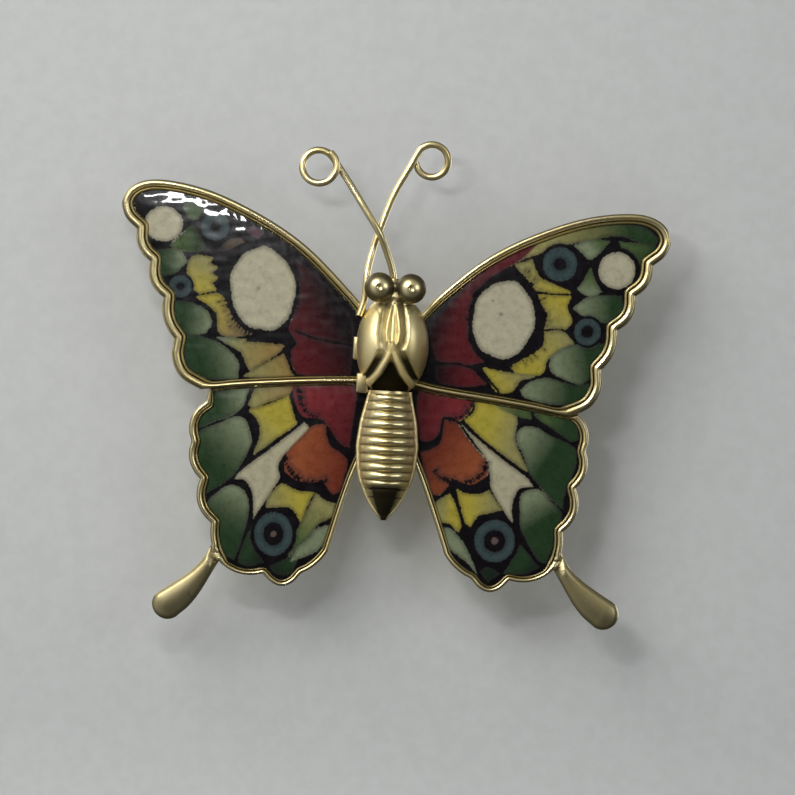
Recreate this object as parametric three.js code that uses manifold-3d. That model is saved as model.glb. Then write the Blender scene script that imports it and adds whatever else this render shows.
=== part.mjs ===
// A butterfly brooch: four stamped trays filled with enamel, a stamped body, two wire antennae
// and a bar pin with a turning safety catch. Millimetres, +Z up, worn upright: the face looks
// along -Y and the pin is on the +Y side. The origin is the middle of the land that rests on cloth.
import * as THREE from 'three';
import { mergeVertices } from 'three/addons/utils/BufferGeometryUtils.js';
import Module from 'manifold-3d';

const wasm = await Module();
wasm.setup();

// ---- driving dimensions ---------------------------------------------------------------------

const WING_SPAN = 50;           // tip to tip
const WING_HEIGHT = 35.9;       // hindwing lobe to forewing top
const SHEET = 0.4;              // thickness of a tray's floor
const RIM_RISE = 0.6;           // how far a rim stands in front of its floor
const ENAMEL = 0.45;            // depth of the enamel in its pocket
const POCKET_CLEARANCE = 0.03;  // enamel to rim, all round
const LAP_CLEARANCE = 0.05;     // forewing's edge to the hindwing's rim
const LAP = 1.3;                // how far the hindwing runs in under the forewing
const ROOT_X = 0.95;            // inner end of every wing, hidden by the body

const FORE_EDGE_RIM = 0.8;      // widths of the raised rims, from the leading edge round
const FORE_RIM = 1.12;
const FORE_RAIL = 0.62;
const ROOT_RIM = 1.3;
const HIND_RIM = 0.85;
const HIND_INNER_RIM = 0.6;
const HIND_FENCE = 0.2;

const BRIDGE = { thickness: 0.8, half_width: 7, bottom: -5, top: 7.2, corner: 1.6, step: 2.9 };
const LAND = { height: 0.2, width: 6, margin: 0.3 };   // the land that rests on cloth

const WALL = 0.5;               // wall of the stamped body
const SEAT_GAP = 0.02;          // a thin solder film
const THORAX = { z: 4.9, half_width: 3.3, depth: 2.9, half_length: 4.7 };
const HEAD = { z: 9.1, half_width: 1.9, depth: 1.7, half_length: 1.9 };
const EYE = { x: 1.43, z: 10.1, radius: 1.36 };
const ABDOMEN = { top: 2.4, tip: -10.9, flatten: 0.88 };
const ABDOMEN_RADII = [[1.6, 1.9], [0.3, 2.06], [-2, 2.6], [-4.2, 2.85], [-6, 2.72], [-7.4, 2.43], [-9.1, 1.68]];

const POST = { radius: 0.6, head_radius: 0.95, head: 0.3, reach: 1, boss_radius: 1, lower: -4 };
const HOLE_CLEARANCE = 0.03;

const WIRE_RADIUS = 0.31;
const WIRE_GAP = 0.04;          // between wires that lie on each other
const LOOP_RADIUS = 1.46;       // to the middle of the wire

const BAR = { z: 5, width: 3.6, thickness: 0.5, overhang: 2, end_radius: 1.2 };
const PIN_LEVEL = 2.5;          // the pin's middle behind the land
const PIN_RADIUS = 0.36;
const PIN_CLEARANCE = 0.1;      // pin to the catch's bore and slot
const PIN_POINT = 3;            // length of the sharpened end
const HINGE_X = 11.6;
const EAR = { thickness: 0.45, radius: 1.15, half_foot: 1.5 };
const KNUCKLE = { radius: 0.95, width: 1.2 };
const EAR_CLEARANCE = 0.06;
const RIVET = { radius: 0.5, head_radius: 0.85, head: 0.25 };
const TURN_CLEARANCE = 0.04;    // radial, for what turns

const CATCH = { x: -11.5, length: 2.4, outer: 1.5, inner: 1.1, half_foot: 0.95 };
const ROTOR = { flange: 1.45, lip: 0.35, head: 0.7 };
const LEVER = { reach: 3.1, half_width: 0.45, angle: -100 };

// Each wing is the same stamping on both sides, soldered a little out of true.
const FOREWING_SET = { left: { out: 0.5, up: 0.05, turn: 1.1 }, right: { out: -0.35, up: -0.35, turn: -0.4 } };
const HINDWING_SET = { left: { out: 0, up: 0, turn: -1.8 }, right: { out: 0, up: 0, turn: 1.8 } };
const WING_ROOT = [2.7, 0];

// Wing outlines, drawn for the right-hand side on a grid this wide and high.
const GRID = { span: 50, height: 35.9, level: 1.5 };
const LEADING_EDGE = [[2.2, 7.7], [4.4, 10.2], [8, 13.4], [12, 15.8], [17, 17.8], [21.5, 18.5],
  [24, 17.9], [25, 16.4], [24.6, 14.9], [23.5, 13.9]];
const FORE_NOTCHES = [[23.5, 13.9], [22.1, 11.05, 0.5], [20.65, 7.85, 0.6], [19.4, 4.2, 0.5]];
const FORE_LOBE = [[19.4, 4.2], [19.5, 2.5], [18.6, 0.75], [16.7, -0.25]];
const RAIL = [[16.7, -0.25], [13.7, 0.25], [9.2, 0.8], [4.1, 1.3], [ROOT_X, 1.5]];
const FORE_ROOT = [ROOT_X, 6.4];

const HIND_TOP = [[ROOT_X, 1.5], [4.1, 1.3], [9.2, 0.8], [13.7, 0.25], [16.2, -0.15]];
const HIND_NOTCHES = [[16.7, -0.5], [17.95, -4.2, 0.75], [17.1, -7.6, 0.55], [16, -11.6, 0.75], [15.3, -15, 0.3]];
const HIND_BOTTOM = [[15.3, -15], [11.2, -16.1, 0.6], [7.7, -16, 1.15], [5.3, -13.9, 0.25]];
const HIND_INNER = [[5.3, -13.9], [4.8, -12.3], [3.9, -9.5], [3.1, -7.2], [2.2, -5]];
const HIND_ROOT = [ROOT_X, -4];
const TAIL = { from: [15.2, -13.6], to: [19.8, -19], neck: 0.68, ball: 1.42, bend: 0.45 };

// ---- levels from the back to the front, along -Y ----------------------------------------------

const bridgeBack = -LAND.height;
const hindwingBack = bridgeBack - BRIDGE.thickness;
const forewingBack = hindwingBack - SHEET;
const bodyBack = forewingBack - SHEET - RIM_RISE - SEAT_GAP;
const barBack = bridgeBack + BAR.thickness;

// ---- finishes ---------------------------------------------------------------------------------

const gold = { color: 0xc9ae63, roughness: 0.25, metalness: 1 };
const steel = { color: 0xb9b4a4, roughness: 0.2, metalness: 1 };
const enamel = { color: 0x3f6b45, roughness: 0.1, metalness: 0 };

const brooch = new THREE.Group();
brooch.name = 'butterfly_brooch';

function add(name, geometry, finish) {
  const mesh = new THREE.Mesh(geometry, new THREE.MeshStandardMaterial(finish));
  mesh.name = name;
  brooch.add(mesh);
  return mesh;
}

// ---- solids -----------------------------------------------------------------------------------

function solid(geometry) {
  const bare = geometry.clone();
  bare.deleteAttribute('normal');
  bare.deleteAttribute('uv');
  const merged = mergeVertices(bare, 1e-5);
  const mesh = new wasm.Mesh({
    numProp: 3,
    vertProperties: new Float32Array(merged.attributes.position.array),
    triVerts: new Uint32Array(merged.index.array),
  });
  return new wasm.Manifold(mesh);
}

function geometryOf(manifold) {
  const mesh = manifold.getMesh();
  const geometry = new THREE.BufferGeometry();
  geometry.setAttribute('position', new THREE.BufferAttribute(mesh.vertProperties, 3));
  geometry.setIndex(new THREE.BufferAttribute(mesh.triVerts, 1));
  return geometry;
}

// A shape drawn in X and Z, given thickness from its back level forwards, along -Y.
const faceOn = new THREE.Matrix4().set(1, 0, 0, 0, 0, 0, -1, 0, 0, 1, 0, 0, 0, 0, 0, 1);

function plate(shape, back, thickness) {
  const geometry = new THREE.ExtrudeGeometry(shape, { depth: thickness, bevelEnabled: false, steps: 1 });
  return geometry.applyMatrix4(faceOn).translate(0, back, 0);
}

function box(x0, x1, y0, y1, z0, z1) {
  const geometry = new THREE.BoxGeometry(x1 - x0, y1 - y0, z1 - z0);
  return geometry.translate((x0 + x1) / 2, (y0 + y1) / 2, (z0 + z1) / 2);
}

function disc(radius, length, segments = 32) {
  return new THREE.CylinderGeometry(radius, radius, length, segments);
}

// ---- wing outlines ----------------------------------------------------------------------------
// An outline is a list of { x, z, rim }: rim is how far in from that point the pocket starts.

function drawn([x, z, bulge]) {
  const across = WING_SPAN / GRID.span;
  const up = WING_HEIGHT / GRID.height;
  return [ROOT_X + (x - ROOT_X) * across, GRID.level + (z - GRID.level) * up, bulge];
}

// The rim may widen evenly along a curve.
function smooth(outline, points, rim, steps, endRim = rim) {
  const curve = new THREE.SplineCurve(points.map(drawn).map(([x, z]) => new THREE.Vector2(x, z)));
  curve.getPoints(steps).forEach((p, i) => {
    outline.push({ x: p.x, z: p.y, rim: rim + ((endRim - rim) * i) / steps });
  });
}

// Scallops run from notch to notch, each an arc that bulges outwards by its own height.
function scallops(outline, notches, rim, steps = 6) {
  const ends = notches.map(drawn);
  for (let i = 1; i < ends.length; i += 1) {
    const [x0, z0] = ends[i - 1];
    const [x1, z1, bulge] = ends[i];
    const lift = (2 * bulge) / Math.hypot(x1 - x0, z1 - z0);
    const middle = new THREE.Vector2((x0 + x1) / 2 - (z1 - z0) * lift, (z0 + z1) / 2 + (x1 - x0) * lift);
    const arc = new THREE.QuadraticBezierCurve(new THREE.Vector2(x0, z0), middle, new THREE.Vector2(x1, z1));
    for (const p of arc.getPoints(steps)) {
      outline.push({ x: p.x, z: p.y, rim });
    }
  }
}

function corner(outline, point, rim) {
  const [x, z] = drawn(point);
  outline.push({ x, z, rim });
}

function forewingOutline() {
  const outline = [];
  corner(outline, FORE_ROOT, ROOT_RIM);
  smooth(outline, LEADING_EDGE, FORE_EDGE_RIM, 26, FORE_RIM);
  scallops(outline, FORE_NOTCHES, FORE_RIM);
  smooth(outline, FORE_LOBE, FORE_RIM, 8);
  smooth(outline, RAIL, FORE_RAIL, 8);
  return outline;
}

function hindwingOutline() {
  const outline = [];
  smooth(outline, HIND_TOP.map(([x, z]) => [x, z + LAP]), HIND_FENCE, 8);
  scallops(outline, HIND_NOTCHES, HIND_RIM);
  scallops(outline, HIND_BOTTOM, HIND_INNER_RIM);
  smooth(outline, HIND_INNER, HIND_INNER_RIM, 8);
  corner(outline, HIND_ROOT, ROOT_RIM);
  return outline;
}

// Drops a point that repeats the one before it, keeping the wider rim.
function withoutRepeats(outline) {
  const kept = [];
  for (const point of outline) {
    const last = kept[kept.length - 1];
    if (last && Math.hypot(point.x - last.x, point.z - last.z) < 0.02) {
      last.rim = Math.max(last.rim, point.rim);
    } else {
      kept.push({ ...point });
    }
  }
  return kept;
}

function placed(outline, side, set) {
  const { out, up, turn } = set[side];
  const angle = THREE.MathUtils.degToRad(turn);
  const hand = side === 'right' ? 1 : -1;
  return withoutRepeats(outline).map(({ x, z, rim }) => {
    const dx = x - WING_ROOT[0];
    const dz = z - WING_ROOT[1];
    const fixed = THREE.MathUtils.smoothstep(x, ROOT_X, 2 * WING_ROOT[0]);
    return {
      x: hand * (x + fixed * (out + dx * (Math.cos(angle) - 1) - dz * Math.sin(angle))),
      z: z + fixed * (up + dx * Math.sin(angle) + dz * (Math.cos(angle) - 1)),
      rim,
    };
  });
}

// Moves each point inwards by its own rim plus some extra, along the bisector of its two edges.
// A corner that the move opens out stays just that far away; one that it closes keeps its mitre.
function inset(outline, extra = 0, share = 1) {
  const area = THREE.ShapeUtils.area(outline.map(({ x, z }) => ({ x, y: z })));
  const inwards = area > 0 ? 1 : -1;
  const count = outline.length;
  return outline.map((point, i) => {
    const before = outline[(i + count - 1) % count];
    const after = outline[(i + 1) % count];
    const a = new THREE.Vector2(point.x - before.x, point.z - before.z).normalize();
    const b = new THREE.Vector2(after.x - point.x, after.z - point.z).normalize();
    const normal = new THREE.Vector2(-(a.y + b.y), a.x + b.x).normalize();
    const amount = share * point.rim + extra;
    const opens = a.cross(b) * inwards * amount < 0;
    const mitre = opens ? 1 : Math.max(0.6, normal.dot(new THREE.Vector2(-a.y, a.x)));
    const move = (inwards * amount) / mitre;
    return { x: point.x + normal.x * move, z: point.z + normal.y * move, rim: point.rim };
  });
}

function shapeOf(outline) {
  return new THREE.Shape(outline.map(({ x, z }) => new THREE.Vector2(x, z)));
}

// ---- wings --------------------------------------------------------------------------------------

function tail(side, thickness) {
  const [from, to] = [drawn(TAIL.from), drawn(TAIL.to)];
  const along = new THREE.Vector2(to[0] - from[0], to[1] - from[1]);
  const across = new THREE.Vector2(-along.y, along.x).normalize();
  const edge = (t, offset) => {
    const aside = offset - TAIL.bend * 4 * t * (1 - t);
    return new THREE.Vector2(from[0] + along.x * t + across.x * aside, from[1] + along.y * t + across.y * aside);
  };
  const half = (t) => TAIL.neck + (TAIL.ball - TAIL.neck) * THREE.MathUtils.smoothstep(t, 0.2, 1);
  const steps = 8;
  const points = [];
  for (let i = 0; i <= steps; i += 1) {
    points.push(edge(i / steps, half(i / steps)));
  }
  const facing = Math.atan2(across.y, across.x);
  for (let i = 1; i < steps; i += 1) {
    const angle = facing - (Math.PI * i) / steps;
    points.push(new THREE.Vector2(to[0] + TAIL.ball * Math.cos(angle), to[1] + TAIL.ball * Math.sin(angle)));
  }
  for (let i = steps; i >= 0; i -= 1) {
    points.push(edge(i / steps, -half(i / steps)));
  }
  const outline = points.map(({ x, y }) => ({ x, z: y, rim: 0 }));
  return plate(shapeOf(placed(outline, side, HINDWING_SET)), hindwingBack, thickness);
}

function forewing(side, outline) {
  const depth = SHEET + RIM_RISE;
  const floor = forewingBack - SHEET;
  const tray = solid(plate(shapeOf(outline), forewingBack, depth))
    .subtract(solid(plate(shapeOf(inset(outline)), floor, depth)));
  add(`forewing_tray_${side}`, geometryOf(tray), gold);
  add(`forewing_enamel_${side}`, plate(shapeOf(inset(outline, POCKET_CLEARANCE)), floor, ENAMEL), enamel);
}

// The hindwing runs in behind the forewing. In front of its floor everything stops short of the
// forewing's edge: first a thin fence, then the enamel.
function hindwing(side, outline, fore) {
  const depth = SHEET + RIM_RISE;
  const floor = hindwingBack - SHEET;
  const clearOf = (distance) => solid(plate(shapeOf(inset(fore, -distance, 0)), floor, 2 * depth));
  const pocket = solid(plate(shapeOf(inset(outline)), floor, depth))
    .subtract(clearOf(LAP_CLEARANCE + HIND_FENCE));
  const tray = solid(plate(shapeOf(outline), hindwingBack, depth))
    .add(solid(tail(side, depth)))
    .subtract(pocket)
    .subtract(clearOf(LAP_CLEARANCE));
  add(`hindwing_tray_${side}`, geometryOf(tray), gold);
  const fill = solid(plate(shapeOf(inset(outline, POCKET_CLEARANCE)), floor, ENAMEL))
    .subtract(clearOf(LAP_CLEARANCE + HIND_FENCE + POCKET_CLEARANCE));
  add(`hindwing_enamel_${side}`, geometryOf(fill), enamel);
}

for (const side of ['left', 'right']) {
  const fore = placed(forewingOutline(), side, FOREWING_SET);
  forewing(side, fore);
  hindwing(side, placed(hindwingOutline(), side, HINDWING_SET), fore);
}

// ---- bridge plate ---------------------------------------------------------------------------------

function roundedRectangle(x0, x1, z0, z1, radius) {
  const shape = new THREE.Shape();
  shape.absarc(x1 - radius, z0 + radius, radius, -Math.PI / 2, 0);
  shape.absarc(x1 - radius, z1 - radius, radius, 0, Math.PI / 2);
  shape.absarc(x0 + radius, z1 - radius, radius, Math.PI / 2, Math.PI);
  shape.absarc(x0 + radius, z0 + radius, radius, Math.PI, 1.5 * Math.PI);
  return new THREE.Shape(shape.getPoints(5));
}

const posts = {
  upper: BAR.z - BAR.width / 2 - POST.head_radius - LAND.margin,
  lower: POST.lower,
};

function postHole(z) {
  return solid(disc(POST.radius + HOLE_CLEARANCE, 4 * BRIDGE.thickness, 20).translate(0, bridgeBack, z));
}

function bridgePlate() {
  const { half_width: w, bottom, top, corner: radius, step, thickness } = BRIDGE;
  const clear = POST.head_radius + LAND.margin;
  const land = box(-LAND.width / 2, LAND.width / 2, bridgeBack - thickness / 2, 0,
    posts.lower + clear, posts.upper - clear);
  return solid(plate(roundedRectangle(-w, w, bottom, top, radius), bridgeBack, thickness))
    .add(solid(plate(roundedRectangle(-w, w, step, top, radius), bridgeBack, thickness + SHEET)))
    .add(solid(land))
    .subtract(postHole(posts.upper))
    .subtract(postHole(posts.lower));
}

add('bridge_plate', geometryOf(bridgePlate()), gold);

// ---- body -----------------------------------------------------------------------------------------
// The right antenna comes down beside the thorax and behind the eye, which stands just clear of it.

const wireFront = forewingBack - SHEET - RIM_RISE - WIRE_RADIUS - WIRE_GAP;
const wireByEye = -(EYE.x + 1.2);
const wireByThorax = (z) => {
  const up = (z - THORAX.z) / THORAX.half_length;
  return -THORAX.half_width * Math.sqrt(1 - up * up) - WIRE_RADIUS - 2 * WIRE_GAP;
};
const eyeReach = EYE.radius + WIRE_RADIUS + WIRE_GAP;
const eyeForward = bodyBack - wireFront + Math.sqrt(eyeReach * eyeReach - (wireByEye + EYE.x) ** 2);

function dome({ z, half_width, depth, half_length }, thinner) {
  const geometry = new THREE.SphereGeometry(1, 28, 18);
  geometry.scale(half_width - thinner, depth - thinner, half_length - thinner);
  return solid(geometry.translate(0, bodyBack, z));
}

function abdomen(thinner) {
  const profile = [new THREE.Vector2(0, ABDOMEN.tip + 1.4 * thinner)];
  for (const [z, radius] of [...ABDOMEN_RADII].reverse()) {
    profile.push(new THREE.Vector2(radius - thinner, z));
  }
  profile.push(new THREE.Vector2(0, ABDOMEN.top));
  const geometry = new THREE.LatheGeometry(profile, 28);
  geometry.rotateX(Math.PI / 2);
  geometry.scale(1, ABDOMEN.flatten, 1);
  return solid(geometry.translate(0, bodyBack, 0));
}

function bodyShell() {
  let outer = dome(THORAX, 0).add(dome(HEAD, 0)).add(abdomen(0));
  for (const side of [-1, 1]) {
    const eye = new THREE.SphereGeometry(EYE.radius, 20, 14);
    outer = outer.add(solid(eye.translate(side * EYE.x, bodyBack - eyeForward, EYE.z)));
  }
  let hollow = dome(THORAX, WALL).add(abdomen(WALL));
  const deep = THORAX.depth;
  for (const z of Object.values(posts)) {
    const boss = disc(POST.boss_radius, deep, 20).translate(0, bodyBack - POST.reach - deep / 2, z);
    hollow = hollow.subtract(solid(boss));
  }
  const wide = 2 * THORAX.half_width;
  const behind = box(-wide, wide, bodyBack, bodyBack + wide, 2 * ABDOMEN.tip, 2 * EYE.z);
  return outer.subtract(hollow).subtract(solid(behind));
}

add('body_shell', geometryOf(bodyShell()), gold);

for (const [name, z] of Object.entries(posts)) {
  const front = bodyBack - POST.reach + SEAT_GAP;
  const back = bridgeBack + POST.head;
  const shank = disc(POST.radius, back - front, 20).translate(0, (back + front) / 2, z);
  const head = disc(POST.head_radius, POST.head, 20).translate(0, bridgeBack + POST.head / 2, z);
  add(`body_post_${name}`, geometryOf(solid(shank).add(solid(head))), gold);
}

// ---- antennae ---------------------------------------------------------------------------------------
// Each wire runs up from the head and rolls into one loop. Its end lies clear of its own shaft,
// in front of it on the left and behind it on the right.

function wire(points, steps) {
  const section = new THREE.Shape();
  section.absarc(0, 0, WIRE_RADIUS, 0, 2 * Math.PI);
  const path = new THREE.CatmullRomCurve3(points.map(([x, y, z]) => new THREE.Vector3(x, y, z)));
  return new THREE.ExtrudeGeometry(new THREE.Shape(section.getPoints(4)), { extrudePath: path, steps });
}

function loop({ centre, level, first, turn, rise, spread }) {
  const points = [];
  const parts = 14;
  for (let i = 0; i <= parts; i += 1) {
    const angle = THREE.MathUtils.degToRad(first + (turn * i) / parts);
    const radius = LOOP_RADIUS + spread * (i / parts);
    points.push([
      centre[0] + radius * Math.cos(angle),
      level + rise * THREE.MathUtils.smoothstep(i / parts, 0.2, 0.85),
      centre[1] + radius * Math.sin(angle),
    ]);
  }
  return points;
}

const wireBehindBody = bodyBack + WIRE_RADIUS + WIRE_GAP;
const wireRise = 2 * WIRE_RADIUS + WIRE_GAP;
const crossingFront = wireBehindBody - 1.3 * wireRise;
const LEFT_SHAFT = [[-0.1, wireBehindBody, 9.6], [-0.3, wireBehindBody, 11.5],
  [-0.95, wireBehindBody - 0.5 * wireRise, 13.4], [-1.8, crossingFront, 15.2], [-3.2, crossingFront, 17.3],
  [-4.7, wireFront, 19.5], [-5.75, wireFront, 20.95]];
const RIGHT_SHAFT = [[wireByThorax(7.5), wireFront, 7.5], [wireByEye - 0.1, wireFront, 9.1],
  [wireByEye, wireFront, 11.2], [-2.3, wireBehindBody, 13.2], [-1.75, wireBehindBody, 15.2],
  [-0.6, wireBehindBody, 18.6], [0.62, wireBehindBody, 21]];
const LEFT_LOOP = { centre: [-7.47, 20.8], level: wireFront, first: 42, turn: 372, rise: -wireRise, spread: 0.15 };
const RIGHT_LOOP = { centre: [2.72, 21.9], level: wireBehindBody, first: 146, turn: -316, rise: wireRise, spread: 0 };

add('antenna_left', wire([...LEFT_SHAFT, ...loop(LEFT_LOOP)], 72), gold);
add('antenna_right', wire([...RIGHT_SHAFT, ...loop(RIGHT_LOOP)], 72), gold);

// ---- pin bar and hinge ------------------------------------------------------------------------------

const earGap = KNUCKLE.width + 2 * EAR_CLEARANCE;

function ear(side) {
  const shape = new THREE.Shape();
  shape.moveTo(HINGE_X - EAR.half_foot, -bridgeBack);
  shape.lineTo(HINGE_X + EAR.half_foot, -bridgeBack);
  shape.absarc(HINGE_X, -PIN_LEVEL, EAR.radius, 0, -Math.PI, true);
  const outline = new THREE.Shape(shape.getPoints(10));
  const geometry = new THREE.ExtrudeGeometry(outline, { depth: EAR.thickness, bevelEnabled: false, steps: 1 });
  geometry.rotateX(Math.PI);
  const inner = side > 0 ? BAR.z + earGap / 2 + EAR.thickness : BAR.z - earGap / 2;
  return geometry.translate(0, 0, inner);
}

function pinBar() {
  const strip = roundedRectangle(CATCH.x - BAR.overhang, HINGE_X + BAR.overhang, BAR.z - BAR.width / 2,
    BAR.z + BAR.width / 2, BAR.end_radius);
  const bore = new THREE.CylinderGeometry(RIVET.radius + TURN_CLEARANCE, RIVET.radius + TURN_CLEARANCE,
    4 * KNUCKLE.width, 24);
  bore.rotateX(Math.PI / 2);
  return solid(plate(strip, barBack, BAR.thickness))
    .add(solid(ear(1)))
    .add(solid(ear(-1)))
    .subtract(solid(bore.translate(HINGE_X, PIN_LEVEL, BAR.z)));
}

add('pin_bar', geometryOf(pinBar()), gold);

function hingeRivet() {
  const reach = earGap / 2 + EAR.thickness;
  const shank = disc(RIVET.radius, 2 * (reach + RIVET.head), 24);
  let rivet = solid(shank.rotateX(Math.PI / 2));
  for (const side of [-1, 1]) {
    const head = disc(RIVET.head_radius, RIVET.head, 24).rotateX(Math.PI / 2);
    rivet = rivet.add(solid(head.translate(0, 0, side * (reach + SEAT_GAP + RIVET.head / 2))));
  }
  return geometryOf(rivet);
}

add('hinge_rivet', hingeRivet(), steel).position.set(HINGE_X, PIN_LEVEL, BAR.z);

// The pin's own frame has its hinge at the origin and points along -X.
function pinStem() {
  const tip = HINGE_X - CATCH.x + CATCH.length / 2 + ROTOR.head / 2;
  const profile = [[0, 0], [PIN_RADIUS, 0], [PIN_RADIUS, tip - PIN_POINT], [0.7 * PIN_RADIUS, tip - PIN_POINT / 2.5],
    [0, tip]];
  const rod = new THREE.LatheGeometry(profile.map(([r, x]) => new THREE.Vector2(r, x)), 20);
  rod.rotateZ(Math.PI / 2);
  const knuckle = disc(KNUCKLE.radius, KNUCKLE.width, 28).rotateX(Math.PI / 2);
  const bore = disc(RIVET.radius + TURN_CLEARANCE, 2 * KNUCKLE.width, 24).rotateX(Math.PI / 2);
  return geometryOf(solid(rod).add(solid(knuckle)).subtract(solid(bore)));
}

add('pin_stem', pinStem(), steel).position.set(HINGE_X, PIN_LEVEL, BAR.z);

// ---- safety catch -----------------------------------------------------------------------------------
// Drawn in Y and Z about the catch's own axis. The mouth opens along +Y, the way the pin swings.

const slot = PIN_RADIUS + PIN_CLEARANCE;

function mouth(halfWidth) {
  return solid(box(-2 * CATCH.length, 2 * CATCH.length, 0, 2 * CATCH.outer, -halfWidth, halfWidth));
}

function tube(outer, start, end) {
  const geometry = disc(outer, end - start, 32).rotateZ(Math.PI / 2);
  return solid(geometry.translate((start + end) / 2, 0, 0));
}

function catchHousing() {
  const half = CATCH.length / 2;
  const foot = box(-half, half, barBack - PIN_LEVEL, -CATCH.inner / 2, -CATCH.half_foot, CATCH.half_foot);
  return tube(CATCH.outer, -half, half)
    .add(solid(foot))
    .subtract(tube(CATCH.inner, -CATCH.length, CATCH.length))
    .subtract(mouth(slot + PIN_CLEARANCE));
}

function catchRotor() {
  const half = CATCH.length / 2;
  const headStart = -half - EAR_CLEARANCE - ROTOR.head;
  const lipEnd = half + EAR_CLEARANCE + ROTOR.lip;
  const angle = THREE.MathUtils.degToRad(LEVER.angle);
  const tab = box(headStart, headStart + ROTOR.head, 0.8 * ROTOR.flange, LEVER.reach,
    -LEVER.half_width, LEVER.half_width);
  return tube(CATCH.inner - TURN_CLEARANCE, headStart, lipEnd)
    .add(tube(ROTOR.flange, headStart, headStart + ROTOR.head))
    .add(tube(ROTOR.flange, lipEnd - ROTOR.lip, lipEnd))
    .add(solid(tab.rotateX(angle)))
    .subtract(tube(slot, -2 * CATCH.length, 2 * CATCH.length))
    .subtract(mouth(slot));
}

add('catch_housing', geometryOf(catchHousing()), gold).position.set(CATCH.x, PIN_LEVEL, BAR.z);
add('catch_rotor', geometryOf(catchRotor()), gold).position.set(CATCH.x, PIN_LEVEL, BAR.z);

export default brooch;
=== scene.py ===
import math
import bpy
import bmesh
import numpy as np
from mathutils import Matrix, Vector, geometry


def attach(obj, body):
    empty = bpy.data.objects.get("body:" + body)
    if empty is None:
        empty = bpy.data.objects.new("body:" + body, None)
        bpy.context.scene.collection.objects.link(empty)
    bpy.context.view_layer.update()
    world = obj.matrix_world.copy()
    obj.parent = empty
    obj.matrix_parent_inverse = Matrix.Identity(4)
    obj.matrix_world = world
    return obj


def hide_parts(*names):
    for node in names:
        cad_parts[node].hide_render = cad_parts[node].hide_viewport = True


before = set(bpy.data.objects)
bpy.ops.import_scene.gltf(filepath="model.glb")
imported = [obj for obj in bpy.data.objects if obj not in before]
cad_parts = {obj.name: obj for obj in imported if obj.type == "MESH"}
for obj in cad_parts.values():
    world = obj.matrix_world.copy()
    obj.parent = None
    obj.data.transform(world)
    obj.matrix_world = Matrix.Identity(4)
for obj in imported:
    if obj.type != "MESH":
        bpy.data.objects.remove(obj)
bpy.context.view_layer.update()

# ---- view ---------------------------------------------------------------------------------------
# The brooch is seen straight on from arm's length, with its top turned a little clockwise.

MM = 0.001
VIEW_WIDTH = 72.2
VIEW_DISTANCE = 300
VIEW_ROLL = math.radians(3)
VIEW_CENTRE = (0.71, 0.26)
WING_FACE = -2


def placed(name, data):
    """An object in the scene that shows this mesh, curve, lamp or camera."""
    item = bpy.data.objects.new(name, data)
    bpy.context.collection.objects.link(item)
    return item


camera_data = bpy.data.cameras.new("view")
camera_data.sensor_width = 36
camera_data.lens = camera_data.sensor_width * VIEW_DISTANCE / VIEW_WIDTH
camera_data.clip_start = 0.01
camera = placed("view", camera_data)
c, s = math.cos(VIEW_ROLL), math.sin(VIEW_ROLL)
camera.matrix_world = Matrix((
    (c, -s, 0, VIEW_CENTRE[0] * MM),
    (0, 0, -1, (WING_FACE - VIEW_DISTANCE) * MM),
    (s, c, 0, VIEW_CENTRE[1] * MM),
    (0, 0, 0, 1),
))
bpy.context.scene.camera = camera
bpy.context.scene.view_settings.view_transform = "Standard"

# ---- light --------------------------------------------------------------------------------------
# One large soft lamp from the upper left, a small strip close in front of the upper left wing for
# its gloss, a weak fill from the right, and two behind for the back. The surroundings darken towards
# the lower right, towards the viewer, straight above and behind.

SKY_BRIGHTEST_WAY = (-0.62, -0.2, 0.76)
SKY_LEVELS = (0.09, 0.58)
SKY_ABOVE = 0.35
SKY_AHEAD = 0.06
SKY_BEHIND = 0.3


def lamp(name, place, aim, width, height, power, colour=(1, 1, 1)):
    data = bpy.data.lights.new(name, "AREA")
    data.shape = "RECTANGLE"
    data.size, data.size_y = width * MM, height * MM
    data.energy = power
    data.color = colour
    item = placed(name, data)
    away = Vector(place) - Vector(aim)
    item.matrix_world = Matrix.LocRotScale(Vector(place) * MM, away.to_track_quat("Z", "Y"), None)
    return item


lamp("key", (-210, -230, 240), (0, 0, 0), 270, 270, 1.15, (1, 0.985, 0.96))
lamp("gloss", (-25, -90, 36), (-12, 0, 12), 24, 5, 0.018)
lamp("fill", (280, -240, 90), (0, 0, 0), 160, 160, 0.2, (0.95, 0.98, 1))
lamp("back_left", (-220, 260, 160), (0, 0, 0), 180, 180, 0.22)
lamp("back_right", (240, 240, 20), (0, 0, 0), 180, 180, 0.28)


class Socket:
    """A node output that can be added, multiplied and so on."""

    def __init__(self, finish, socket):
        self.finish = finish
        self.socket = socket

    def maths(self, operation, first, second=0.0):
        return self.finish.node("ShaderNodeMath", {"operation": operation}, {0: first, 1: second})

    def __add__(self, other):
        return self.maths("ADD", self, other)

    def __sub__(self, other):
        return self.maths("SUBTRACT", self, other)

    def __mul__(self, other):
        return self.maths("MULTIPLY", self, other)

    def ramp(self, low, high, start=0.0, end=1.0):
        """Runs from start to end while this value runs from low to high."""
        return self.finish.node("ShaderNodeMapRange", {"interpolation_type": "SMOOTHSTEP"},
                                {0: self, 1: low, 2: high, 3: start, 4: end})


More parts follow.
